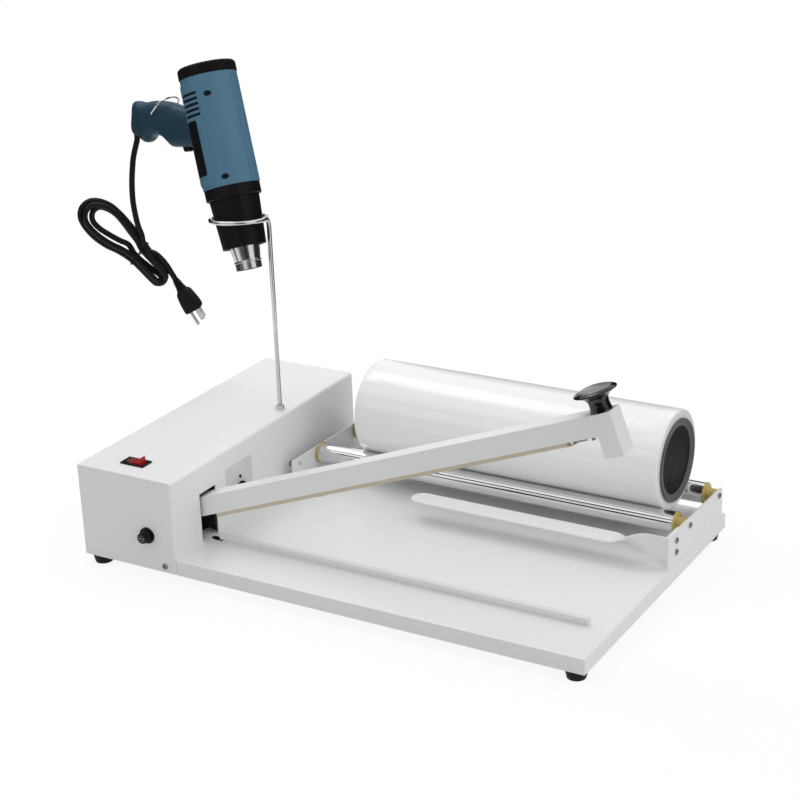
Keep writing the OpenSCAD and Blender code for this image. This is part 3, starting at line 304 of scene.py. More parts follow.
# %% A finish
class Finish:
    """A material, its shader, and the point on the piece that its patterns are drawn from."""

    def __init__(self, name, colour, roughness, **constants):
        self.material = bpy.data.materials.new(name)
        self.material.use_nodes = True
        self.tree = self.material.node_tree
        self.shader = self.tree.nodes["Principled BSDF"]
        self.colour = (*colour, 1)
        self.shader.inputs["Base Color"].default_value = self.colour
        self.shader.inputs["Roughness"].default_value = roughness
        for key, value in constants.items():
            self.shader.inputs[key.replace("_", " ").title().replace("Ior", "IOR")].default_value = value
        coordinates = self.tree.nodes.new("ShaderNodeTexCoord")
        self.spot = Wire(self.tree, coordinates.outputs["Object"])

    def feed(self, name, wire):
        self.tree.links.new(wire.socket, self.shader.inputs[name])

    def noise(self, scale, detail=2.0, stretch=None):
        spot = self.spot
        if stretch:
            spot = spot.node("Mapping", {}, {"Vector": spot, "Scale": stretch})
        return self.spot.node("TexNoise", {}, {"Vector": spot, "Scale": scale, "Detail": detail})

    def tint(self, mask, other):
        """The finish's colour, moving to another where the mask is 1."""
        mixed = mask.node("Mix", {"data_type": "RGBA"},
                          {0: mask, 6: self.colour, 7: (*other, 1)}, output=2)
        self.feed("Base Color", mixed)

    def bump(self, height, depth, strength=1.0):
        self.feed("Normal", height.node("Bump", {}, {
            "Height": height, "Distance": depth * MM, "Strength": strength}))


print("a finish is a material with a colour, a roughness and patterns")

# %% [markdown]
# The machine's sheet metal is white powder coat. It looks flat from afar, and close up it has
# a fine orange peel and a barely uneven gloss. That is two noises: a fine one for the bump, and
# a broad one that moves the colour and the roughness by a few hundredths.

# %% Painted, bare and plated metals
def enamel():
    coat = Finish("white_enamel", (0.82, 0.825, 0.825), 0.34, specular_ior_level=0.4)
    broad = coat.noise(7.0, 3.0)
    coat.tint(broad, (0.79, 0.795, 0.797))
    coat.feed("Roughness", broad * 0.12 + 0.28)
    coat.bump(coat.noise(620.0), 0.05, 0.35)
    return coat.material


def plain_sheet():
    zinc = Finish("plain_sheet", (0.50, 0.51, 0.52), 0.42, metallic=0.8)
    spangle = zinc.spot.node("TexVoronoi", {}, {"Vector": zinc.spot, "Scale": 160.0})
    zinc.tint(spangle, (0.60, 0.61, 0.62))
    zinc.feed("Roughness", spangle * 0.2 + 0.34)
    return zinc.material


def dark_steel():
    black = Finish("dark_steel", (0.010, 0.010, 0.011), 0.5, specular_ior_level=0.2)
    worn = black.noise(90.0, 4.0)
    black.tint((worn - 0.55).limited() * 2, (0.05, 0.05, 0.052))
    black.bump(worn, 0.04)
    return black.material


def brushed(name, colour, roughness, along, metallic=1.0):
    """Bare or anodised metal with fine lines drawn along one axis of the piece."""
    metal = Finish(name, colour, roughness, metallic=metallic)
    lines = metal.noise(1.0, 3.0, stretch=tuple(14 if axis == along else 2400 for axis in "xyz"))
    metal.tint(lines, tuple(0.86 * c for c in colour))
    metal.feed("Roughness", lines * 0.18 + (roughness - 0.08))
    metal.bump(lines, 0.015, 0.5)
    return metal.material


def bright_steel():
    steel = Finish("steel", (0.70, 0.70, 0.70), 0.2, metallic=1.0)
    marks = steel.noise(45.0, 5.0)
    steel.tint(marks, (0.60, 0.60, 0.605))
    steel.feed("Roughness", marks * 0.2 + 0.1)
    return steel.material


def chrome():
    plated = Finish("roller_chrome", (0.80, 0.80, 0.805), 0.06, metallic=1.0)
    haze = plated.noise(9.0, 4.0, stretch=(1, 6, 6))
    plated.tint(haze, (0.74, 0.74, 0.75))
    plated.feed("Roughness", haze * 0.10 + 0.02)
    return plated.material


white = enamel()
zinc = plain_sheet()
black_steel = dark_steel()
aluminium = brushed("bar_aluminium", (0.84, 0.845, 0.845), 0.45, "x", metallic=0.2)
steel = bright_steel()
roller_chrome = chrome()
print("metals:", white.name, zinc.name, aluminium.name, steel.name, roller_chrome.name)

# %% [markdown]
# Plastics and rubber differ mostly in gloss and grain. A moulded housing has a spark-eroded
# texture a few tenths of a millimetre wide, a polished knob has almost none but a clear
# reflection, and rubber scatters light and collects dust, which lifts its black a little.
# One function makes them all.

# %% How plastics, rubber, cloth, film and card are made
def moulded(name, colour, roughness, grain=0.02, cell=1400.0, **constants):
    plastic = Finish(name, colour, roughness, **constants)
    broad = plastic.noise(24.0, 3.0)
    plastic.tint(broad, tuple(min(1, 1.22 * c + 0.004) for c in colour))
    plastic.feed("Roughness", broad * 0.14 + (roughness - 0.07))
    plastic.bump(plastic.noise(cell), grain, 0.6)
    return plastic.material


def woven(name, colour, thread):
    """A plain weave: two sets of fine ribs that cross, thread millimetres apart."""
    cloth = Finish(name, colour, 0.55, specular_ior_level=0.35)
    axes = cloth.spot.node("SeparateXYZ", {}, {0: cloth.spot})
    turns = 2 * math.pi / (thread * MM)
    over = (axes * turns).math("SINE", axes * turns)
    across = Wire(cloth.tree, axes.socket.node.outputs["Y"])
    under = (across * turns).math("SINE", across * turns)
    weave = over * under * 0.5 + 0.5
    soil = cloth.noise(30.0, 4.0)
    cloth.tint((weave * 0.5 + soil * 0.5).limited(), tuple(0.86 * c for c in colour))
    cloth.bump(weave, 0.06, 0.7)
    return cloth.material


def film_finish():
    film = Finish("clear_film", (0.97, 0.972, 0.975), 0.2, coat_weight=0.25, coat_roughness=0.2)
    bands = film.noise(1.0, 4.0, stretch=(5, 60, 60))
    rings = film.noise(1.0, 3.0, stretch=(260, 3, 3))
    film.tint((bands * 0.7 + rings * 0.3).limited(), (0.84, 0.845, 0.85))
    film.feed("Roughness", bands * 0.3 + 0.08)
    film.bump(bands + rings * 0.4, 0.25, 0.5)
    return film.material


def cardboard():
    board = Finish("cardboard", (0.46, 0.33, 0.20), 0.85)
    fibre = board.noise(1.0, 5.0, stretch=(90, 420, 420))
    board.tint(fibre, (0.34, 0.24, 0.14))
    board.bump(fibre, 0.05)
    return board.material


def laminations():
    core = Finish("iron_core", (0.10, 0.10, 0.11), 0.4, metallic=0.5)
    height = core.spot.node("SeparateXYZ", {}, {0: core.spot}, output="Z")
    sheets = (height * (2 * math.pi / (1.0 * MM))).math("SINE", height * (2 * math.pi / (1.0 * MM)))
    core.tint((sheets * 0.5 + 0.5).limited(), (0.16, 0.16, 0.17))
    core.bump(sheets, 0.05)
    return core.material


print("five kinds of finish can be made")

# %% [markdown]
# Black plastic in a photograph is rarely black: it is the sky seen in its gloss. So the blacks
# below have colours near nought, and differ in their specular level and their roughness.

# %% The plastics, rubber, cloth, film and card of this machine
gun_blue = moulded("gun_blue", (0.066, 0.163, 0.248), 0.4, grain=0.03, cell=1100.0,
                   specular_ior_level=0.3)
# The handle is the barrel's blue plastic; this darker copy of its colour is painted shade.
shaded_handle_blue = moulded("shaded_handle_blue", (0.012, 0.044, 0.070), 0.4, grain=0.03, cell=1100.0,
                      specular_ior_level=0.2)
black_plastic = moulded("black_plastic", (0.004, 0.004, 0.005), 0.4, specular_ior_level=0.12)
grey_plastic = moulded("grey_plastic", (0.105, 0.108, 0.112), 0.38, specular_ior_level=0.2)
# Dark plastic of the core's dished face, and also painted shade inside the gun's slots and wells.
dark_disc_and_shade = moulded("dark_disc_and_shade", (0.012, 0.012, 0.013), 0.5, specular_ior_level=0.1)
plate_black = moulded("plate_black", (0.005, 0.005, 0.006), 0.3, grain=0.004, specular_ior_level=0.15)
# Grey plastic of the knob's cap, and also the painted highlights on the fuse cap.
grey_cap_and_highlight = moulded("grey_cap_and_highlight", (0.17, 0.172, 0.175), 0.24, grain=0.004)
knob_black = moulded("knob_black", (0.004, 0.004, 0.004), 0.12, grain=0.003, specular_ior_level=0.5)
yellow_plastic = moulded("yellow_plastic", (0.50, 0.40, 0.12), 0.4)
rubber = moulded("black_rubber", (0.006, 0.006, 0.007), 0.55, grain=0.04, cell=900.0,
                 specular_ior_level=0.15)
cord_rubber = moulded("cord_rubber", (0.005, 0.005, 0.006), 0.42, grain=0.02, cell=1600.0,
                      specular_ior_level=0.2)
rocker_base = moulded("rocker_base", (0.30, 0.012, 0.008), 0.25, grain=0.004, specular_ior_level=0.3)
lamp_red = moulded("lamp_red", (0.035, 0.008, 0.008), 0.12, grain=0.002, specular_ior_level=0.3)
screw_steel = brushed("screw_steel", (0.30, 0.30, 0.31), 0.3, "x")
pale_cover = woven("pale_cover", (0.80, 0.80, 0.795), 0.8)
tan_cover = woven("strip_rubber", (0.66, 0.575, 0.44), 0.7)
film = film_finish()
board = cardboard()
core_iron = laminations()
print("plastics, rubber and cloth ready")

# %% [markdown]
# The CAD solids whose shape is right only need their finish. The table says which.

# %% Dress the CAD solids
DRESS = {
    white: ["base_pan", "housing_cover", "left_bracket", "right_bracket", "film_bar", "arm_tube", "arm_leg"],
    zinc: ["bottom_plate"],
    black_steel: ["pivot_bracket"],
    aluminium: ["seal_bar"],
    pale_cover: ["seal_pad"],
    steel: ["front_axle", "rear_axle", "rod_collar", "pivot_pin", "return_spring", "nozzle",
            "plug_prongs", "hanger_bail", "stand_rod", "machine_screws", "wire_clamp"],
    roller_chrome: ["front_roller", "rear_roller"],
    rubber: ["foot_front_left", "foot_front_right", "foot_back_left", "foot_back_right", "cord_gland",
             "strain_relief", "plug_body"],
    cord_rubber: ["cord_lead", "cord_hank", "cord_tail"],
    black_plastic: ["switch_frame", "timer_control", "fuse_holder", "timer_knob", "fuse_cap",
                    "gun_rear_cap", "gun_collar", "nozzle_guard", "hank_tie", "trigger"],
    lamp_red: ["indicator_lamp"],
    core_iron: ["transformer"],
    rocker_base: ["rocker"],
    tan_cover: ["arm_strip"],
    knob_black: ["handle_knob"],
    grey_cap_and_highlight: ["knob_cap"],
    grey_plastic: ["core_plug_left", "core_plug_right"],
    yellow_plastic: ["front_cap_left", "front_cap_right", "rear_cap_left", "rear_cap_right"],
    film: ["film_roll"],
    board: ["film_core"],
    gun_blue: ["gun_shell_left", "gun_shell_right"],
}
for finish, names in DRESS.items():
    for name in names:
        node = nodes[name]
        node.data.materials.clear()
        node.data.materials.append(finish)
missing = sorted(set(nodes) - {name for names in DRESS.values() for name in names})
print("solids without a finish:", missing)

# %% [markdown]
# The cord hangs from the gun in one upright plane: straight down, then three long loose turns
# gathered by a tie, then a short tail to the plug. It is one curve through points in that
# plane: distance to the right, height, and how far it stands towards the camera.
# Each turn runs up the left side, over the top and back down, and folds at the bottom.
# The middle turn lies between the outer and the inner one, so its points are a mix of theirs.

# %% Points of the cord, across and up, in millimetres
CORD_D = 8.0
LEAD = [(0, 486.6), (-0.5, 480), (-3.5, 470), (-7.5, 456), (-10, 441), (-12, 425),
        (-13, 409), (-13, 393), (-11.5, 377), (-9, 360), (-5, 346)]
TAIL = [(21, 307), (24, 302.5), (27, 297.5), (30, 291.5), (33, 285), (36, 278.6)]
WAIST = Vector((-11, 318))
WAIST_SIDE = Vector((0.668, 0.745))
OUTER_TURN = [(-40, 321), (-56, 330), (-71, 342), (-83, 357), (-89, 372), (-86, 386),
              (-75, 395), (-61, 395), (-46, 388), (-33, 375), (-21, 359), (-10, 343)]
INNER_TURN = [(-25, 331), (-37, 338), (-51, 347), (-64, 357), (-72, 368), (-71, 380),
              (-62, 387), (-50, 384), (-39, 376), (-30, 364), (-22, 351), (-13, 337)]
FOLD_RADII = [10.5, 7.6, 4.6]
FOLD_CENTRES = [(12.5, 284.0), (14.5, 285.5), (16.5, 288.5)]
FOLD_AXIS = 57
TURN_DEPTH = [-4.0, 3.5, -1.0]
TURN_WEIGHT = [0.0, 0.45, 1.0]
DOWN_AT = [(14.5, 5.0), (13.5, -4.5), (7.5, 3.5), (6.5, -4.5)]
UP_AT = [(-14.5, 0.0), (-8.0, 4.5), (-7.0, -4.5)]
print("points on a full turn:", len(OUTER_TURN) + 5 + 2)

# %% [markdown]
# Where the strands cross the tie they lie side by side in two layers, as a hand would lay them.
# The route then goes through the lead, three turns with a fold below each, and the tail.

# %% The cord with its turns
def strand(offset, depth, slide=0.0):
    """Where a strand passes the tie: offset across the bundle, slide down along it."""
    down = Vector((WAIST_SIDE.y, -WAIST_SIDE.x))
    at = WAIST + offset * WAIST_SIDE + slide * down
    return (at.x, at.y, depth)


def fold(turn):
    """Half a circle at the bottom, from the right leg round to the left one."""
    x, z = FOLD_CENTRES[turn]
    radius = FOLD_RADII[turn]
    start, end = DOWN_AT[turn][1], UP_AT[turn][1]
    line = []
    for step in range(5):
        a = math.radians(90 - FOLD_AXIS - 45 * step)
        depth = start + (end - start) * step / 4
        line.append((x + radius * math.cos(a), z + radius * math.sin(a), depth))
    return line


def cord_route():
    route = [(x, z, min(4.0, 0.5 * i)) for i, (x, z) in enumerate(LEAD)]
    route.append(strand(*DOWN_AT[0]))
    for turn in range(3):
        route += fold(turn)
        route.append(strand(*UP_AT[turn]))
        w = TURN_WEIGHT[turn]
        for (x0, z0), (x1, z1) in zip(OUTER_TURN, INNER_TURN):
            route.append((x0 + (x1 - x0) * w, z0 + (z1 - z0) * w, TURN_DEPTH[turn]))
        route.append(strand(*DOWN_AT[turn + 1]))
    route.append((11, 318, 2.0))
    route += [(x, z, 1.0 * (len(TAIL) - 1 - i) / len(TAIL)) for i, (x, z) in enumerate(TAIL)]
    return [CORD @ Vector((x, -q, z - CORD_Z0)) for x, z, q in route]


def add_cord(name, points, radius, body, finish):
    """A round cord: one open spline through the points, with a bevel."""
    data = bpy.data.curves.new(name, "CURVE")
    data.dimensions = "3D"
    data.bevel_depth = radius * MM
    data.bevel_resolution = 5
    data.use_fill_caps = True
    line = smooth_line(points, 8)
    spline = data.splines.new("POLY")
    spline.points.add(len(line) - 1)
    for point, place in zip(spline.points, line):
        point.co = (*place, 1)
    spline.use_smooth = True
    data.materials.append(finish)
    made = bpy.data.objects.new(name, data)
    bpy.context.scene.collection.objects.link(made)
    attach(made, body)
    length = sum((b - a).length for a, b in zip(line, line[1:]))
    return made, length


cord, cord_length = add_cord("cord", cord_route(), CORD_D / 2, "heat_gun",
                             cord_rubber)
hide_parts("cord_lead", "cord_hank", "cord_tail")
print("cord is", round(cord_length, 3), "m long")

# %% [markdown]
# The plug is moulded on: a rounded body that narrows to a ribbed, flexible neck.
# It is one sweep whose section changes along the way. The ribs are rings where the neck's
# radius swells and shrinks, with a flat on each side as real ones have.

# %% Moulded plug
PLUG_AT = (59.9, 233.3)
PLUG_TURN = -27.7
PLUG = CORD @ Matrix.Translation((PLUG_AT[0], 0, PLUG_AT[1] - CORD_Z0)) @ Matrix.Rotation(
    math.radians(PLUG_TURN), 4, "Y")
PLUG_STATIONS = [
    (0.0, 12.2, 10.4, 3.6), (0.7, 13.1, 11.4, 3.8), (2.5, 13.5, 12.0, 4.2), (9.0, 13.4, 12.0, 4.2),
    (16.0, 12.8, 11.6, 4.0), (22.0, 12.0, 11.0, 4.0), (27.0, 11.2, 10.4, 3.8), (29.6, 10.6, 9.8, 3.4),
    (31.4, 9.4, 8.8, 3.0), (33.0, 7.8, 7.5, 2.4), (35.6, 7.2, 7.0, 2.1)]
RIBS = 5
RIB_PITCH = 2.8


def plug_sections():
    stations = list(PLUG_STATIONS)
    for rib in range(RIBS):
        base = 36.2 + RIB_PITCH * rib
        size = 6.9 - 0.38 * rib
        for rise, grow in ((0.0, -1.2), (0.5, 0.0), (1.5, 0.0), (2.0, -1.2)):
            stations.append((base + rise, size + grow, size + grow, 2.0))
    stations.append((51.0, CORD_D / 2 + 0.5, CORD_D / 2 + 0.5, 2.0))
    return stations


def rounded(half_x, half_y, power, steps=40):
    """A superellipse: power 2 is an ellipse, and more makes it boxier."""
    line = []
    for k in range(steps):
        a = 2 * math.pi * k / steps
        c, s = math.cos(a), math.sin(a)
        line.append((half_x * math.copysign(abs(c) ** (2 / power), c),
                     half_y * math.copysign(abs(s) ** (2 / power), s)))
    return line


def loft(stations, steps=40):
    """Joins superellipses stacked along Z, closed at both ends."""
    points = []
    for z, half_x, half_y, power in stations:
        points += [(x, y, z) for x, y in rounded(half_x, half_y, power, steps)]
    return points, row_faces(steps, len(stations))


plug = piece("mains_plug", *loft(plug_sections()), PLUG, "heat_gun", "black_rubber", rubber, crease=40)
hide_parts("plug_body")
print("plug neck has", RIBS, "ribs")

# %% [markdown]
# A thin wire tie gathers the turns. Seen close, it is a flat black strip bent round the
# bundle: a rounded rectangle of a path with a small flat section.

# %% The tie round the bundle
TIE_TURN = 42
TIE = CORD @ Matrix.Translation((WAIST.x, 0, WAIST.y - CORD_Z0)) @ Matrix.Rotation(
    math.radians(TIE_TURN), 4, "Y")
TIE_HALF = (10.2, 19.2)
TIE_W, TIE_T = 1.8, 0.6


def tie_shape():
    ring = rounded(*TIE_HALF, 3.4, 48)
    points = []
    for y, z in ring:
        out = Vector((0, y / TIE_HALF[0] ** 2, z / TIE_HALF[1] ** 2)).normalized()
        for u, v in ((-TIE_W / 2, 0), (TIE_W / 2, 0), (TIE_W / 2, TIE_T), (-TIE_W / 2, TIE_T)):
            points.append(Vector((u, y, z)) + v * out)
    n = len(ring)
    faces = [(4 * i + k, 4 * i + (k + 1) % 4, 4 * ((i + 1) % n) + (k + 1) % 4, 4 * ((i + 1) % n) + k)
             for i in range(n) for k in range(4)]
    return points, faces


tie = piece("cord_tie", *tie_shape(), TIE, "heat_gun", "black_plastic", black_plastic)
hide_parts("hank_tie")
print("tie goes round", [2 * half for half in TIE_HALF], "mm")

# %% [markdown]
# It prints the curve's length and the cord's thickness.

print("cord is declared as", round(cord_length, 2), "m of", CORD_D, "mm")

# %% [markdown]
# Every screw is a pan head with a cross recess. The head is a grid in rings; the points that
# lie inside the cross are pushed down, so the recess is real and catches the light.
# A matrix per screw says where it sits and which way it faces.

# %% Cross-recess screws
HEAD_R, HEAD_H, SHANK_R = 4.0, 2.4, 2.0
CROSS_HALF, CROSS_REACH, CROSS_DEPTH = 0.62, 2.5, 1.3


def screw_shape(grip):
    steps = 48
    dome = [(HEAD_R * math.cos(a), 0.9 + (HEAD_H - 0.9) * math.sin(a))
            for a in [math.radians(d) for d in range(0, 31, 15)]]
    rings = [2.9, CROSS_REACH, 2.2, 1.7, 1.2, 0.8, 0.4, 0.0]
    top = [(r, 0.9 + (HEAD_H - 0.9) * math.sqrt(1 - (r / HEAD_R) ** 2)) for r in rings]
    profile = [(0, -grip), (SHANK_R, -grip), (SHANK_R, 0), (HEAD_R, 0)] + dome + top
    points, faces = revolve(profile, steps)
    sunk = []
    for x, y, z in points:
        inside = min(abs(x), abs(y)) <= CROSS_HALF and max(abs(x), abs(y)) < CROSS_REACH - 0.1
        sunk.append((x, y, z - CROSS_DEPTH) if inside and z > 1 else (x, y, z))
    return sunk, faces


def facing(x, y, z, axis, spin=0.0):
    """A matrix that stands a shape's Z along an axis."""
    turn = Vector((0, 0, 1)).rotation_difference(Vector(axis)).to_matrix().to_4x4()
    return Matrix.Translation((x, y, z)) @ turn @ Matrix.Rotation(math.radians(spin), 4, "Z")


print("screw head is", 2 * HEAD_R, "mm across")

# %% [markdown]
# The places follow the sheet metal: two screws hold the cover's ends and three its sides, one
# sits at either end of each roller's axle, and the rest hold the brackets, the film bar and the
# feet. Their crosses point different ways, because nobody lines up screws on such a machine.

# %% Where the screws sit
BASE_L, BASE_D, DECK = 720, 438, 20
HOUSING_W = 148
ROLLER_YS, ROLLER_Z = (318, 418), 53
LEFT_X, RIGHT_X = 164.5, 718
BRACKET_Y = 248
screws = [facing(130, 0, 8.3, (0, -1, 0), 20), facing(130, BASE_D, 8.3, (0, 1, 0), 50),
          facing(HOUSING_W, 269.8, 51.2, (1, 0, 0), 12)]
screws += [facing(0, y, 8.3, (-1, 0, 0), y) for y in (60, BASE_D - 60)]
screws += [facing(RIGHT_X, y, ROLLER_Z, (1, 0, 0), y) for y in ROLLER_YS]
screws += [facing(LEFT_X, y, ROLLER_Z, (-1, 0, 0), y) for y in ROLLER_YS]
screws += [facing(RIGHT_X, BRACKET_Y + 26, DECK + rise, (1, 0, 0), 7 * rise) for rise in (15, 31)]
screws += [facing(x, y, DECK + 2, (0, 0, 1), x + y) for x in (LEFT_X + 24, RIGHT_X - 24)
           for y in (BRACKET_Y + 42, BRACKET_Y + 182 - 28)]
feet = [facing(x, y, -6.5, (0, 0, -1), 30) for x in (17, BASE_L - 17) for y in (15, BASE_D - 15)]
shapes = [moved(screw_shape(8), m) for m in screws] + [moved(screw_shape(12), m) for m in feet]
heads = piece("cross_screws", *merge(*shapes), BASE, "base", "steel", screw_steel, crease=40)
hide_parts("machine_screws")
print("screws:", len(shapes))

# %% [markdown]
# The ring stand is one bright rod: straight up from the base, a soft elbow, then most of a
# turn round the gun's guard. The same curve as in the drawing, with far more points.

# %% Ring stand
ROD_X, ROD_Y, ROD_D = 132.7, 275.5, 6
RING_R, RING_TURN, RING_LEAN, ELBOW = 37.5, 33, -7, 14
RING_FROM, RING_TO = -22, -347


def ring_point(angle):
    a = math.radians(angle)
    lean = Euler((math.radians(RING_LEAN), 0, math.radians(RING_TURN)), "XYZ").to_matrix()
    return RING_AT + lean @ Vector((RING_R * math.cos(a), RING_R * math.sin(a), 0))


def rod_route():
    top = Vector((ROD_X, ROD_Y, RING_AT.z - ELBOW))
    corner = Vector((ROD_X, ROD_Y, RING_AT.z))
    away = ring_point(RING_FROM)
    route = [Vector((ROD_X, ROD_Y, DECK + h)) for h in (0, 100, 200, 300)]
    for step in range(7):
        s = step / 7
        route.append((1 - s) ** 2 * top + 2 * s * (1 - s) * corner + s * s * away)
    return route + [ring_point(a) for a in range(RING_FROM, RING_TO, -9)]


rod_shape = sweep(smooth_line(rod_route(), 3), circle(ROD_D / 2, 20), first=(1, 0, 0))
rod = piece("ring_stand_rod", *rod_shape, BASE, "base", "steel", steel, crease=50)
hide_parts("stand_rod")
print("rod points:", len(rod.data.vertices))

# %% [markdown]
# Beside the arm's slot sits a small bare plate with the timer's knob and a pilot lamp. The
# plate is 0.6 mm thick, with rounded corners, and round the knob it has plain tick marks.

# %% Timer plate and tick marks
PLATE_Y, PLATE_Z, PLATE_T = (119, 178), (44, 100), 0.6
TIMER_Y, TIMER_Z = 150.5, 62
TICKS, TICK_SPAN, TICK_R = 11, 270, 12.5


def plate_shape():
    y0, y1 = PLATE_Y
    z0, z1 = PLATE_Z
    outline = arc(y0 + 2, z0 + 2, 2, 180, 270, 3) + arc(y1 - 2, z0 + 2, 2, 270, 360, 3)
    outline += arc(y1 - 2, z1 - 2, 2, 0, 90, 3) + arc(y0 + 2, z1 - 2, 2, 90, 180, 3)
    points, faces = extrude(outline, 0, PLATE_T)
    return [(HOUSING_W + z, x, y) for x, y, z in points], faces


def tick_shapes():
    """Small bars round the knob, drawn flat and then stood on the plate."""
    stand = Matrix(((0, 0, 1, 0), (1, 0, 0, 0), (0, 1, 0, 0), (0, 0, 0, 1)))
    middle = Matrix.Translation((HOUSING_W + PLATE_T, TIMER_Y, TIMER_Z))
    marks = []
    for step in range(TICKS):
        a = math.radians(TICK_SPAN * (step / (TICKS - 1) - 0.5))
        long = 3.0 if step % 5 == 0 else 1.8
        bar = box_shape((-0.25, TICK_R, 0), (0.25, TICK_R + long, 0.15))
        marks.append(moved(bar, middle @ stand @ Matrix.Rotation(a, 4, "Z")))
    return marks


grey_plate = moulded("plate_grey", (0.58, 0.585, 0.59), 0.45, grain=0.01)
piece("timer_plate", *plate_shape(), BASE, "base", "bar_aluminium", grey_plate)
piece("timer_ticks", *merge(*tick_shapes()), BASE, "base", "black_plastic", black_plastic)
print("tick marks:", TICKS)

# %% [markdown]
# The film roll is thousands of turns of clear film. Up close its ends aren't flat: the turns
# creep in and out by a few tenths. The roll is a revolved profile whose end faces waver, with
# softened outer edges, and its skin carries the faint bands that winding leaves.

# %% Film roll
FILM_X0, FILM_X1, FILM_Y, FILM_Z = 234, 678, 368, 115.706
FILM_R, CORE_R = 66, 49
SLIT_AT, SLIT_HALF = 318, 1.6
ROLL = BASE @ Matrix.Translation((0, FILM_Y, FILM_Z)) @ Matrix.Rotation(math.radians(90), 4, "Y")


def film_shape():
    start = [(CORE_R + 0.3, FILM_X0 + 0.3)]
    for ring in range(1, 12):
        start.append((CORE_R + ring * 1.3, FILM_X0 + 0.25 + 0.25 * math.sin(2.3 * ring)))
    start += [(FILM_R - 1.4, FILM_X0 + 0.5), (FILM_R - 0.5, FILM_X0 + 1.2), (FILM_R, FILM_X0 + 2.6)]
    middle = FILM_X0 + FILM_X1
    body = [(FILM_R - 0.12 * abs(math.sin(0.31 * k)), FILM_X0 + 2.6 + (FILM_X1 - FILM_X0 - 5.2) * k / 24)
            for k in range(1, 24)]
    end = [(r, middle - x) for r, x in reversed(start)]
    return revolve(start + body + end, 128, closed=True)


roll = piece("film_winding", *film_shape(), ROLL, "film", "clear_film", film, crease=50)
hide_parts("film_roll")
print("film is", FILM_X1 - FILM_X0, "mm wide")

# %% [markdown]
# Each end of the core holds a plastic plug: a flange with a rolled rim, and a dark dished face
# with one narrow slit. The two ends are mirror images, so the profile takes a sign.

# %% End plugs of the film's core
def plug_profile(mirror):
    """Flange with a rolled rim, a step, and the dished dark face."""
    flange = [(46, 2.0), (46, 0.0), (47.5, -0.6), (50, -0.9), (52.5, -1.2), (53.6, -2.6), (54.6, -3.0),
              (55, -2.4), (55, -0.2), (44.8, -0.2), (44.8, 18), (42.8, 18), (42.8, 2.0)]
    return [(r, mirror * z) for r, z in flange]


def dish_shape(mirror):
    """The dark face inside the flange, with one narrow slit from the middle outwards."""
    steps = 120
    rings = [0, 5, 10, 15, 20, 25, 30, 35, 40, 43, 46]
    depth = {43: 0.6, 46: 0.0}
    profile = [(r, depth.get(r, 1.0)) for r in rings] + [(46, 2.5), (0, 2.5)]
    points, faces = revolve(profile, steps)
    out = []
    for x, y, z in points:
        angle = math.degrees(math.atan2(y, x)) % 360
        on_slit = abs(angle - SLIT_AT) < SLIT_HALF and 6 < math.hypot(x, y) < 34 and z < 2
        out.append((x, y, mirror * (z + (1.3 if on_slit else 0))))
    return out, faces


for side, x, mirror in (("left", FILM_X0, 1), ("right", FILM_X1, -1)):
    at = ROLL @ Matrix.Translation((0, 0, x))
    rim = piece(f"core_flange_{side}", *revolve(plug_profile(mirror), 96, closed=True), at, "film",
                "grey_plastic", grey_plastic, crease=40)
    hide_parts(f"core_plug_{side}")
    piece(f"core_dish_{side}", *dish_shape(mirror), at, "film", "grey_plastic", dark_disc_and_shade, crease=40)
print("plug flange is", 2 * 55, "mm across")

# %% [markdown]
# Under the arm a rubber strip wears a woven cover. At its right end the cover frays and the
# wire that keeps it stretched runs on to a small post beside the leg.

# %% The strip under the arm
ARM_H, STRIP_T = 25.4, 5.4
THREADS = 22
STRIP_X = (79, 612)


def strip_shape():
    half = 12.5
    section = [(half, 0), (-half, 0)] + arc(-half + 2, -STRIP_T + 2, 2, 180, 270, 4)
    section += arc(half - 2, -STRIP_T + 2, 2, -90, 0, 4)
    length = STRIP_X[1] - STRIP_X[0]
    points, rows = [], 60
    for row in range(rows + 1):
        x = STRIP_X[0] + length * row / rows
        puff = 1 + 0.02 * math.sin(row * 1.7)
        points += [(x, y * puff, z * puff - ARM_H / 2) for y, z in section]
    return points, row_faces(len(section), rows + 1)


strip = piece("strip_cover", *strip_shape(), ARM, "sealing_arm", "strip_rubber", tan_cover, crease=50)
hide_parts("arm_strip")
print("strip is", STRIP_X[1] - STRIP_X[0], "mm long")

# %% [markdown]
# The woven cover is cut at the arm's far end, and its threads stand out. Each is a short thin
# tube on a bent path. Sines of different pace give every thread its own length and droop
# without a random number, so the end looks the same on every run.

# %% The frayed end
def frayed_threads():
    threads = []
    for k in range(THREADS):
        y = k - THREADS / 2
        long = 4 + 5 * abs(math.sin(1.9 * k)) + 2 * (k % 3)
        droop = 1.2 * math.sin(0.8 * k)
        path = [(STRIP_X[1] - 2, y, -STRIP_T + 0.5 - ARM_H / 2),
                (STRIP_X[1] + long * 0.5, y + 0.6 * math.sin(k), -STRIP_T + 0.3 - ARM_H / 2),
                (STRIP_X[1] + long, y + 1.2 * math.sin(2.2 * k), -STRIP_T + 1.2 + droop - ARM_H / 2)]
        threads.append(sweep(smooth_line(path, 3), circle(0.28, 5)))
    return merge(*threads)


piece("frayed_cover", *frayed_threads(), ARM, "sealing_arm", "strip_rubber", tan_cover)
print("frayed threads:", THREADS)

# %% [markdown]
# What pulls the cover tight is a clamp bar, a wire inside a small coil spring, and a post. They
# are one piece here, because they move and shine alike.

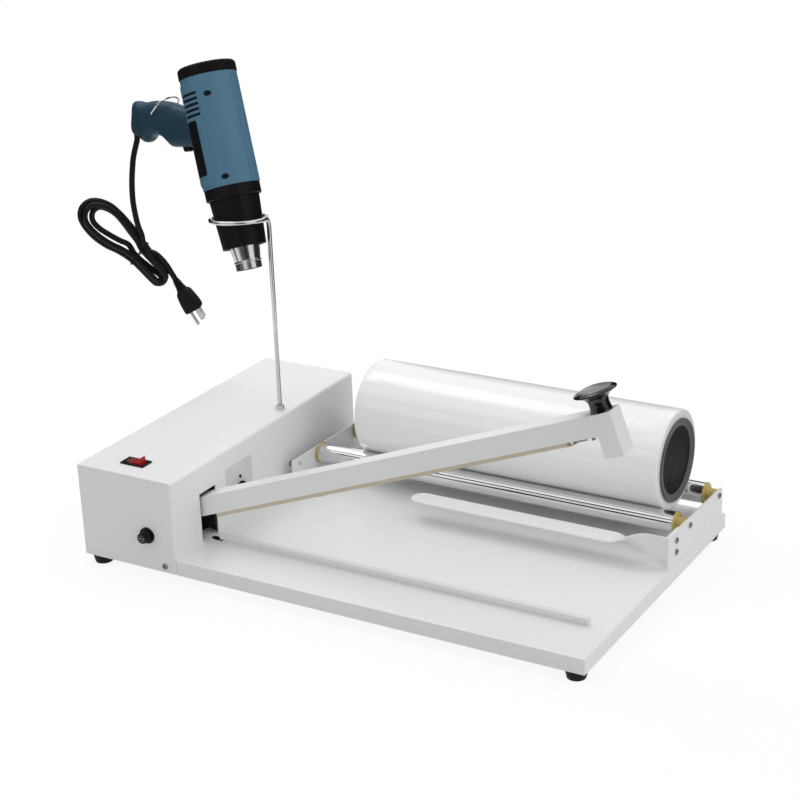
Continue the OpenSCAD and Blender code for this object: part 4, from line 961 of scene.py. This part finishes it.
# %% The wire and its post
def clamp_shapes():
    x, z = STRIP_X[1], -ARM_H / 2
    bar = box_shape((x + 0.5, -8, z - STRIP_T + 1), (x + 6, 8, z))
    line = smooth_line([(x + 6, 0, z - 3), (x + 16, 0, z - 2.6), (x + 27, 0, z - 3.4)], 4)
    wire = sweep(line, circle(0.9, 10))
    coils = [(x + 8 + 12 * k / 72, 2.3 * math.cos(k * 0.6), z - 3 + 2.3 * math.sin(k * 0.6))
             for k in range(73)]
    spring = sweep(coils, circle(0.5, 6), first=(1, 0, 0))
    foot = -STRIP_T - 1
    post = revolve([(0, foot), (2.6, foot), (3, foot + 0.4), (3, 0), (0, 0)], 24)
    return merge(bar, wire, spring, moved(post, Matrix.Translation((x + 28, 0, z))))


clamp = piece("cover_tensioner", *clamp_shapes(), ARM, "sealing_arm", "steel", steel)
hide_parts("wire_clamp")
print("wire and post:", len(clamp.data.polygons), "faces")

# %% [markdown]
# The heat gun's barrel is a height field wrapped round a cylinder. At each angle and distance
# along the barrel the skin stands a little above or below its radius: a long raised panel with
# rounded corners, five vent slots, two screw wells and the seam where the halves meet.
# Carving these with booleans would leave ragged faces, and a height field keeps even rows.

# %% The skin's height at each angle and distance
BARREL_R, BARREL_T = 38.2, (43.5, 192)
PANEL_A, PANEL_T, PANEL_RISE, PANEL_ROUND = (76, 133), (47, 186), 1.6, 8
VENT_A, VENT_T, VENT_PITCH, VENTS = (78.0, 130), (140, 143.6), 7, 5
WELL_A, WELL_TS, WELL_R, WELL_W = 56.6, (55.5, 165.4), 3.4, 5.2
VENT_DEPTH, WELL_DEPTH, SEAM_DEPTH, BARREL_EDGE = 2.2, 4.0, 0.4, 1.3
DEGREE = math.radians(1) * BARREL_R


def inside_panel(angle, t):
    """How far inside the panel's rounded outline a point is, negative outside."""
    half_s = (PANEL_A[1] - PANEL_A[0]) * DEGREE / 2
    half_t = (PANEL_T[1] - PANEL_T[0]) / 2
    off_s = abs(angle * DEGREE - sum(PANEL_A) * DEGREE / 2) - half_s + PANEL_ROUND
    off_t = abs(t - sum(PANEL_T) / 2) - half_t + PANEL_ROUND
    corner = math.hypot(max(off_s, 0), max(off_t, 0)) + min(max(off_s, off_t), 0)
    return PANEL_ROUND - corner


def skin_height(angle, t):
    angle = abs(angle)
    height = PANEL_RISE * min(1, max(0, inside_panel(angle, t) / 0.8))
    slot = (t - VENT_T[0]) % VENT_PITCH < VENT_T[1] - VENT_T[0]
    if slot and 0 <= t - VENT_T[0] < VENT_PITCH * VENTS and VENT_A[0] < angle < VENT_A[1]:
        return height - VENT_DEPTH
    for well in WELL_TS:
        if math.hypot((angle - WELL_A) * DEGREE / WELL_W, (t - well) / WELL_R) < 1:
            return -WELL_DEPTH
    if angle < 0.5 or angle > 179.5:
        return height - SEAM_DEPTH
    past = BARREL_EDGE - min(t - BARREL_T[0], BARREL_T[1] - t)
    return height - (BARREL_EDGE - math.sqrt(max(0, BARREL_EDGE ** 2 - past ** 2)) if past > 0 else 0)


print("skin stands", round(skin_height(100, 100), 2), "mm proud on the panel")

# %% [markdown]
# A grid needs its lines only where the height changes, so they are gathered from the features:
# the panel's edges, each slot's two sides, the wells. One half is listed and then mirrored.

# %% The barrel's grid
def spread(low, high, step):
    count = max(1, round((high - low) / step))
    return [low + (high - low) * k / count for k in range(count + 1)]


def inward(ends, steps):
    """Lines a little way in from either end."""
    return [ends[0] + e for e in steps] + [ends[1] - e for e in steps]


def along_lines():
    ts = spread(*BARREL_T, 5) + inward(BARREL_T, (0.3, 0.7, 1.3)) + inward(PANEL_T, (0.0, 0.4, 0.8, 2, 4))
    for i in range(VENTS):
        ts += [t + VENT_PITCH * i + e for t in VENT_T for e in (-0.15, 0.15)]
    for well in WELL_TS:
        ts += spread(well - WELL_R - 0.3, well + WELL_R + 0.3, 0.55)
    return sorted(set(round(t, 3) for t in ts))


def round_lines():
    reach = (WELL_W + 0.3) / DEGREE
    half = spread(0, 180, 5) + [0.4, 0.6, 179.4, 179.6] + inward(PANEL_A, (0, 0.6, 1.2, 4))
    half += [a + e for a in VENT_A for e in (-0.2, 0.2)]
    half += spread(WELL_A - reach, WELL_A + reach, 0.55 / DEGREE)
    half = sorted(set(round(a, 3) for a in half))
    return half + [-a for a in reversed(half) if 0 < a < 180]


def barrel_shape():
    ts, angles = along_lines(), round_lines()
    points = []
    for t in ts:
        for angle in angles:
            r, turn = BARREL_R + skin_height(angle, t), -math.radians(angle)
            points.append((r * math.cos(turn), r * math.sin(turn), t))
    return points, row_faces(len(angles), len(ts))


barrel = piece("gun_barrel", *barrel_shape(), GUN, "heat_gun", "gun_blue", gun_blue, crease=30)
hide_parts("gun_shell_left", "gun_shell_right")
print("barrel points:", len(barrel.data.vertices))

# %% [markdown]
# The handle is a loft: upright rounded sections along it, each with its own underside, top and
# half width. The stations bunch up at the heel, where the shape turns quickly.

# %% The handle as a loft
GRIP_STATIONS = [
    (25, 108, 150, 15), (42, 107, 158.5, 16.8), (56, 109, 165.5, 17), (70, 112.5, 173, 16.4),
    (78, 114.5, 176.6, 15.9), (84, 116.5, 178.8, 15.6), (89, 122.5, 180.4, 15.5), (95, 130, 182, 15.5),
    (102, 135.5, 183.6, 15.7), (110, 138, 184.5, 16.2), (118.5, 137.6, 185.2, 16.2),
    (124, 134, 186.9, 15.8), (129, 132.5, 189.4, 14.6), (134.5, 134.2, 191.2, 12.6),
    (139, 137.5, 191.4, 10.6), (142.6, 141, 189.2, 8.8),
    (145.6, 143.5, 184.5, 7.4), (148.6, 145.5, 177, 6.6), (151.6, 147.5, 169.5, 6.0), (153.8, 150, 164, 5.2),
    (154.8, 152, 161, 3.6)]


def grip_shape():
    stations = smooth_line([(x, low, high) for x, low, high, wide in GRIP_STATIONS], 3)
    widths = smooth_line([(x, wide, 0) for x, low, high, wide in GRIP_STATIONS], 3)
    points, n = [], 40
    for (x, low, high), (_, wide, _) in zip(stations, widths):
        middle, tall = (low + high) / 2, (high - low) / 2
        points += [(-x, a, middle + b) for a, b in rounded(max(wide, 0.5), max(tall, 0.5), 2.8, n)]
    return points, row_faces(n, len(stations))


# The handle's darker blue is painted shade.
grip = piece("gun_handle", *grip_shape(), GUN, "heat_gun", "gun_blue", shaded_handle_blue, crease=60)
print("handle points:", len(grip.data.vertices))

# %% [markdown]
# The trigger is a small curved lever under the handle, close behind the barrel. It rides on its
# own body, because it slides a few millimetres when it is pulled.

# %% The trigger
TRIGGER_X, TRIGGER_T, TRIGGER_W = (-66, -55), (104.5, 118), 6


def trigger_shape():
    """A small curved lever: its front edge is hollowed for a finger."""
    x0, x1 = TRIGGER_X
    t0, t1 = TRIGGER_T
    outline = [(x0 + 1.5, t1), (x0, t0 + 5), (x0 + 1, t0 + 1.5), (x0 + 4, t0), (x0 + 7, t0 + 0.8),
               (x1, t0 + 0.2), (x1, t1)]
    points, faces = extrude(outline, -TRIGGER_W, TRIGGER_W)
    return [(x, z, y) for x, y, z in points], faces


trigger = piece("gun_trigger_lever", *trigger_shape(), GUN, "gun_trigger", "black_plastic",
                black_plastic)
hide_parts("trigger")
print("trigger is", 2 * TRIGGER_W, "mm wide")

# %% [markdown]
# The dark linings inside the slots and the wells are painted shade, and a bare black plate sits
# on the panel. They are thin patches bent round the barrel, so one function makes any patch.

# %% Painted shade in the slots and wells, and the bare plate
def barrel_patch(angles, span, radius, thick, steps=24, round_by=0.0):
    """A curved plate; angles run from +X towards -Y."""
    points = []
    for r in (radius, radius + thick):
        for step in range(steps + 1):
            a = -math.radians(angles[0] + (angles[1] - angles[0]) * step / steps)
            trim = round_by * max(0.0, 1 - min(step, steps - step) / 2)
            for t in (span[0] + trim, span[1] - trim):
                points.append((r * math.cos(a), r * math.sin(a), t))
    n = 2 * (steps + 1)
    faces = []
    for k in range(steps):
        a = 2 * k
        faces += [(a, a + 1, a + 3, a + 2), (n + a, n + a + 2, n + a + 3, n + a + 1),
                  (a, a + 2, n + a + 2, n + a), (a + 1, n + a + 1, n + a + 3, a + 3)]
    end = 2 * steps
    return points, faces + [(0, n, n + 1, 1), (end, end + 1, n + end + 1, n + end)]


PLATE_A, PLATE_SPAN = (92, 126), (62, 135)
slots = []
for side in (1, -1):
    for i in range(VENTS):
        span = (VENT_T[0] + VENT_PITCH * i, VENT_T[1] + VENT_PITCH * i)
        angles = [side * (VENT_A[0] + 0.3), side * (VENT_A[1] - 0.3)]
        slots.append(barrel_patch(angles, span, BARREL_R + PANEL_RISE - VENT_DEPTH - 0.4, 0.7))
# Painted shade: dark linings inside the vent slots.
piece("vent_painted_shade", *merge(*slots), GUN, "heat_gun", "black_plastic", dark_disc_and_shade)
plate_patch = barrel_patch(PLATE_A, PLATE_SPAN, BARREL_R + PANEL_RISE, 0.35, round_by=1.5)
piece("side_plate", *plate_patch, GUN, "heat_gun", "black_plastic", plate_black)
# Painted shade: dark discs at the bottom of the screw wells.
outward = Matrix.Rotation(math.radians(90), 4, "Y") @ Matrix.Diagonal((1, WELL_W / WELL_R, 1, 1))
wells = []
for side in (1, -1):
    for t in WELL_TS:
        turn = Matrix.Rotation(-side * math.radians(WELL_A), 4, "Z")
        disc = revolve([(0, 0), (WELL_R, 0), (WELL_R, 0.6), (0, 0.6)], 24)
        wells.append(moved(disc, turn @ Matrix.Translation((BARREL_R - 4.2, 0, t)) @ outward))
piece("screw_well_painted_shade", *merge(*wells), GUN, "heat_gun", "black_plastic", dark_disc_and_shade)
print("vent slots:", len(slots), "screw wells:", len(wells))

# %% [markdown]
# The knob on the arm is a turned shape: a waisted stem that flares into a broad head, with a
# separate domed cap set into it. Both are profiles of radius and height above the arm.

# %% Knob and its cap
KNOB_AT, ARM_TOP = 662, 12.7
STEM = [(0, 0), (13, 0), (12.9, 1), (12.2, 5), (11.8, 9), (12.0, 12), (13.2, 15), (15.8, 17.8), (19.4, 20),
        (22.8, 21.4), (25.2, 22.3), (25.8, 23.1), (25.5, 23.9), (24.3, 24.7), (22.4, 25.6), (20.6, 26.2),
        (20.2, 25.2), (0, 25.2)]
CAP = [(0, 25.0), (20.0, 25.0), (20.0, 26.2), (19.4, 26.7), (16.5, 27.7), (13, 28.6), (9, 29.3),
       (4.5, 29.7), (0, 29.8)]
KNOB = ARM @ Matrix.Translation((KNOB_AT, 0, ARM_TOP))
stem = piece("knob_stem", *revolve(STEM, 64), KNOB, "sealing_arm", "knob_black", knob_black, crease=40)
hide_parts("handle_knob")
cap = piece("knob_dome", *revolve(CAP, 64), KNOB, "sealing_arm", "knob_black", grey_cap_and_highlight, crease=40)
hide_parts("knob_cap")
print("knob is", 2 * max(r for r, height in STEM), "mm wide")

# %% [markdown]
# The red rocker is see-through plastic over a lamp. Its colour carries painted shade: dark at the
# dipped end and bright at the raised one. Its profile is a shallow V, extruded across and rounded
# at the two high edges.

# %% The rocker
ROCKER_AT, ROCKER_TILT, ROCKER_W = (67.2, 37.2, 125), 8, 14.2
ROCKER_HALF, ROCKER_RIM = 11.2, 9.4


def rocker_shape():
    top = arc(ROCKER_HALF - 1.1, ROCKER_RIM - 1.1, 1.1, -20, 110, 5)
    top += [(x, 4.6 + 0.032 * x * x) for x in (7, 5, 3, 1, -1, -3, -5, -7)]
    top += arc(1.1 - ROCKER_HALF, ROCKER_RIM - 3.3, 1.1, 70, 200, 5)
    half = ROCKER_HALF
    outline = [(-half, -0.5), (4 - half, -4), (half - 4, -4), (half, -0.5)] + top
    points, faces = extrude(outline, -ROCKER_W / 2, ROCKER_W / 2)
    return [(x, z, y) for x, y, z in points], faces


def rocker_finish():
    """Red with painted shade that darkens it towards the dipped end."""
    red = Finish("rocker_red", (0.40, 0.016, 0.010), 0.22, specular_ior_level=0.3)
    along = red.spot.node("SeparateXYZ", {}, {0: red.spot}, output="X")
    # Painted shade: the red darkens towards the dipped end.
    dipped_end_shade = ((ROCKER_AT[0] - ORIGIN.x + 3) * MM - along) * (1000 / 9)
    marks = red.noise(260.0, 2.0)
    red.tint((dipped_end_shade.limited() * 0.85 + marks * 0.15).limited(), (0.10, 0.004, 0.003))
    return red.material


ROCKER = BASE @ Matrix.Translation(ROCKER_AT) @ Matrix.Rotation(math.radians(-ROCKER_TILT), 4, "Y")
rocker = piece("rocker_lens", *rocker_shape(), ROCKER, "switch_rocker", "rocker_red",
               rocker_finish(), crease=25)
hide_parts("rocker")
print("rocker is", 2 * ROCKER_HALF, "mm long")

# %% [markdown]
# The fuse holder's cap is a turned shape. Points in every twentieth of a turn are drawn in a
# little, which makes the grip's ribs. A pale bar across the face and a pale ring round it are
# painted highlights, where the coin slot and the rim catch the light.

# %% The fuse cap
FUSE = BASE @ facing(105.7, 0, 48, (0, -1, 0))
FUSE_RIBS, FUSE_SHRINK = 20, 0.97
FUSE_PROFILE = [(0, -20), (5, -20), (5, 2.6), (8.5, 2.6), (8.5, 3.6), (8.1, 4.2), (7.2, 12.2), (6.6, 13.2),
                (5.2, 13.8), (4.6, 13.2), (4.4, 12.6), (3.6, 12.4), (2.2, 12.4), (1.1, 12.4), (0, 12.4)]


def fuse_shape():
    points, faces = revolve(FUSE_PROFILE, 60)
    ribbed = []
    for x, y, z in points:
        groove = 4 < z < 12.5 and math.cos(FUSE_RIBS * math.atan2(y, x)) > 0.3
        shrink = FUSE_SHRINK if groove else 1
        ribbed.append((x * shrink, y * shrink, z))
    return ribbed, faces


fuse = piece("fuse_knob", *fuse_shape(), FUSE, "fuse_carrier", "black_plastic", black_plastic, crease=30)
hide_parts("fuse_cap")
# Painted highlights: a pale bar for the lit coin slot and a pale ring on the rim.
slot_highlight_bar = box_shape((-3.4, -0.7, 12.5), (3.4, 0.7, 13.3))
rim_highlight_ring = revolve([(3.6, 12.3), (4.5, 12.3), (4.5, 13.0), (3.6, 13.0)], 40, closed=True)
piece("fuse_slot_highlight", *merge(slot_highlight_bar, rim_highlight_ring), FUSE, "fuse_carrier", "black_plastic", grey_cap_and_highlight)
print("fuse cap is", 2 * 8.5, "mm across")

# %% [markdown]
# Two small things by the arm's slot finish the machine: a flat black oval on the hole in the deck,
# where the seal bar's lead comes up, which is painted shade of the hole, and the pivot bracket's
# two dark cheeks inside the slot.

# %% Painted shade of the lead hole, and cheeks
LEAD_HOLE_SHADE = BASE @ Matrix.Translation((154.4, 79.4, 20)) @ Matrix.Rotation(math.radians(-8), 4, "Z")


LEAD_HOLE_SHADE_PROFILE = [(0, -0.6), (6.0, -0.6), (6.2, 0.2), (5.8, 0.9), (4.6, 1.1), (3.4, 0.8), (0, 0.7)]
LEAD_HOLE_SHADE_FLAT = 0.62


def lead_hole_shade_shape():
    points, faces = revolve(LEAD_HOLE_SHADE_PROFILE, 40)
    return [(x, LEAD_HOLE_SHADE_FLAT * y, z) for x, y, z in points], faces


# Painted shade: a black oval in the rubber finish stands for the dark lead hole.
piece("lead_hole_shade", *lead_hole_shade_shape(), LEAD_HOLE_SHADE, "base", "black_rubber", rubber)
cheeks = [box_shape((126.2, y, 26.5), (146.6, y + 2.4, 54)) for y in (60.1, 91.5)]
piece("pivot_cheeks", *merge(*cheeks), BASE, "base", "dark_steel", black_steel)
print("cheeks:", len(cheeks))

# %% [markdown]
# The studio is plain. Its floor is pale paper: the camera, and what chrome reflects, sees it
# run to white, while it sends only its own soft grey back up to the machine. The object's
# shadow stays, because close by a part of what the camera sees is still lit paper.

# %% Floor
FLOOR_HALF = 14.0
FADE_FROM, FADE_TO = 1.0, 2.2
GLOW_NEAR = 0.88


def add_floor():
    mesh = bpy.data.meshes.new("floor")
    corners = [(x * FLOOR_HALF, y * FLOOR_HALF, 0) for x, y in ((-1, -1), (1, -1), (1, 1), (-1, 1))]
    mesh.from_pydata(corners, [], [(0, 1, 2, 3)])
    floor = bpy.data.objects.new("floor", mesh)
    bpy.context.scene.collection.objects.link(floor)
    paper = Finish("floor_paper", (0.52, 0.52, 0.52), 0.9)
    tree = paper.tree
    seen = light_paths(tree)
    middle = (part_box("base_pan")[0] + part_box("base_pan")[1]) / 2
    far = paper.spot.node("VectorMath", {"operation": "DISTANCE"},
                          {0: paper.spot, 1: (middle.x, middle.y, 0)}, output="Value")
    fade = ((far - FADE_FROM) / (FADE_TO - FADE_FROM)).limited()
    bright = Wire(tree, tree.nodes.new("ShaderNodeBsdfDiffuse").outputs[0])
    bright.socket.node.inputs["Color"].default_value = (1, 1, 1, 1)
    glow = Wire(tree, tree.nodes.new("ShaderNodeEmission").outputs[0])
    shown = bright.node("MixShader", {}, {0: fade * (1 - GLOW_NEAR) + GLOW_NEAR, 1: bright, 2: glow})
    both = shown.node("MixShader", {}, {0: seen, 1: Wire(tree, paper.shader.outputs[0]), 2: shown})
    tree.links.new(both.socket, tree.nodes["Material Output"].inputs["Surface"])
    mesh.materials.append(paper.material)
    return floor


add_floor()
print("floor is", 2 * FLOOR_HALF, "m wide")

# %% [markdown]
# The sky is brighter overhead and to the right than elsewhere, and one soft lamp hangs above,
# behind and to the left, so that each face of the white boxes gets its own shade. Rays from the
# camera, and mirror-like ones, find the sky white.

# %% Sky and key light
KEY_AT, KEY_SIZE, KEY_WATTS = (-0.92, 0.54, 2.34), 1.1, 13
MACHINE = (0.35, 0.2, 0.1)
SKY_TOP, SKY_SIDE, SKY_RIGHT, SKY_BACK = 0.30, 0.57, 0.50, 0.05


def add_sky():
    world = bpy.data.worlds.new("studio")
    bpy.context.scene.world = world
    world.use_nodes = True
    tree = world.node_tree
    background = tree.nodes["Background"]
    seen = light_paths(tree)
    coordinates = tree.nodes.new("ShaderNodeTexCoord")
    look = Wire(tree, coordinates.outputs["Generated"])
    right, back, up = (look.node("SeparateXYZ", {}, {0: look}, output=axis) for axis in "XYZ")
    lit = up.limited() * SKY_TOP + right.limited() * SKY_RIGHT + back * SKY_BACK + SKY_SIDE
    strength = seen + (1 - seen) * lit
    tree.links.new(strength.socket, background.inputs["Strength"])
    background.inputs["Color"].default_value = (1, 1, 1, 1)


def add_key(name, place, aim, size, watts):
    data = bpy.data.lights.new(name, "AREA")
    data.size = size
    data.energy = watts
    lamp = bpy.data.objects.new(name, data)
    bpy.context.scene.collection.objects.link(lamp)
    lamp.location = place
    lamp.rotation_mode = "QUATERNION"
    lamp.rotation_quaternion = (Vector(aim) - Vector(place)).to_track_quat("-Z", "Y")
    return lamp


add_sky()
key = add_key("key_light", KEY_AT, MACHINE, KEY_SIZE, KEY_WATTS)
print("key light", key.data.energy, "W")

# %% [markdown]
# Chrome in a white room looks like paper, because it has nothing dark to show. A photographer
# puts black cards round it. Three long cards in front give the rollers and rods their dark
# lines. Only reflections see them, so they throw no shadow.

# %% Dark cards for the chrome
CARDS = (("card_low", -1.9, 0.42, 0.62), ("card_high", -1.35, 1.55, 0.42), ("card_over", -0.35, 2.1, 0.22))
CARD_AIM, CARD_WIDTH = (0.0, 0.3, 0.08), 8


def hide_from_all_but_reflections(card):
    card.visible_camera = False
    card.visible_diffuse = False
    card.visible_shadow = False
    card.visible_transmission = False


def add_card(name, place, aim, width, height):
    """A black card that only reflections see."""
    mesh = bpy.data.meshes.new(name)
    mesh.from_pydata([(x * width / 2, y * height / 2, 0) for x, y in ((-1, -1), (1, -1), (1, 1), (-1, 1))],
                     [], [(0, 1, 2, 3)])
    card = bpy.data.objects.new(name, mesh)
    bpy.context.scene.collection.objects.link(card)
    felt = Finish(name + "_felt", (0.02, 0.02, 0.02), 0.95)
    felt.bump(felt.noise(60.0), 1.0)
    mesh.materials.append(felt.material)
    card.matrix_world = Matrix.Translation(place) @ (Vector(aim) - Vector(place)).to_track_quat(
        "-Z", "Y").to_matrix().to_4x4()
    hide_from_all_but_reflections(card)


for name, back, up, height in CARDS:
    add_card(name, (0.0, back, up), CARD_AIM, CARD_WIDTH, height)
print("cards:", len(CARDS))

# %% [markdown]
# The gun's nozzle is an upright tube, and shows what stands round the machine, so the long
# cards don't help it. It gets three dark screens that stand far off on the floor, with bright
# gaps between them. The gaps become the upright stripes on the tube.

# %% Dark screens for the nozzle
SCREENS = ((-232, -134), (-69, -28), (12, 112))
SCREEN_MIDDLE = (-0.01, 0.2)
SCREEN_NEAR, SCREEN_FAR, SCREEN_TOP = 0.9, 2.6, 1.5


def add_screen(name, start, end):
    """A dark folding screen round the machine: a strip of floor and the wall behind it."""
    steps, rows = 16, ((SCREEN_NEAR, 0.001), (SCREEN_FAR, 0.001), (SCREEN_FAR, SCREEN_TOP))
    points = []
    for k in range(steps + 1):
        a = math.radians(start + (end - start) * k / steps)
        points += [(SCREEN_MIDDLE[0] + r * math.cos(a), SCREEN_MIDDLE[1] + r * math.sin(a), z)
                   for r, z in rows]
    mesh = bpy.data.meshes.new(name)
    faces = [(3 * k + j, 3 * k + j + 1, 3 * k + j + 4, 3 * k + j + 3) for k in range(steps) for j in (0, 1)]
    mesh.from_pydata(points, [], faces)
    screen = bpy.data.objects.new(name, mesh)
    bpy.context.scene.collection.objects.link(screen)
    mesh.materials.append(bpy.data.materials["card_low_felt"])
    hide_from_all_but_reflections(screen)


for number, (start, end) in enumerate(SCREENS):
    add_screen(f"screen_{number}", start, end)
bpy.context.scene.view_settings.view_transform = "Standard"
print("screens:", len(SCREENS))
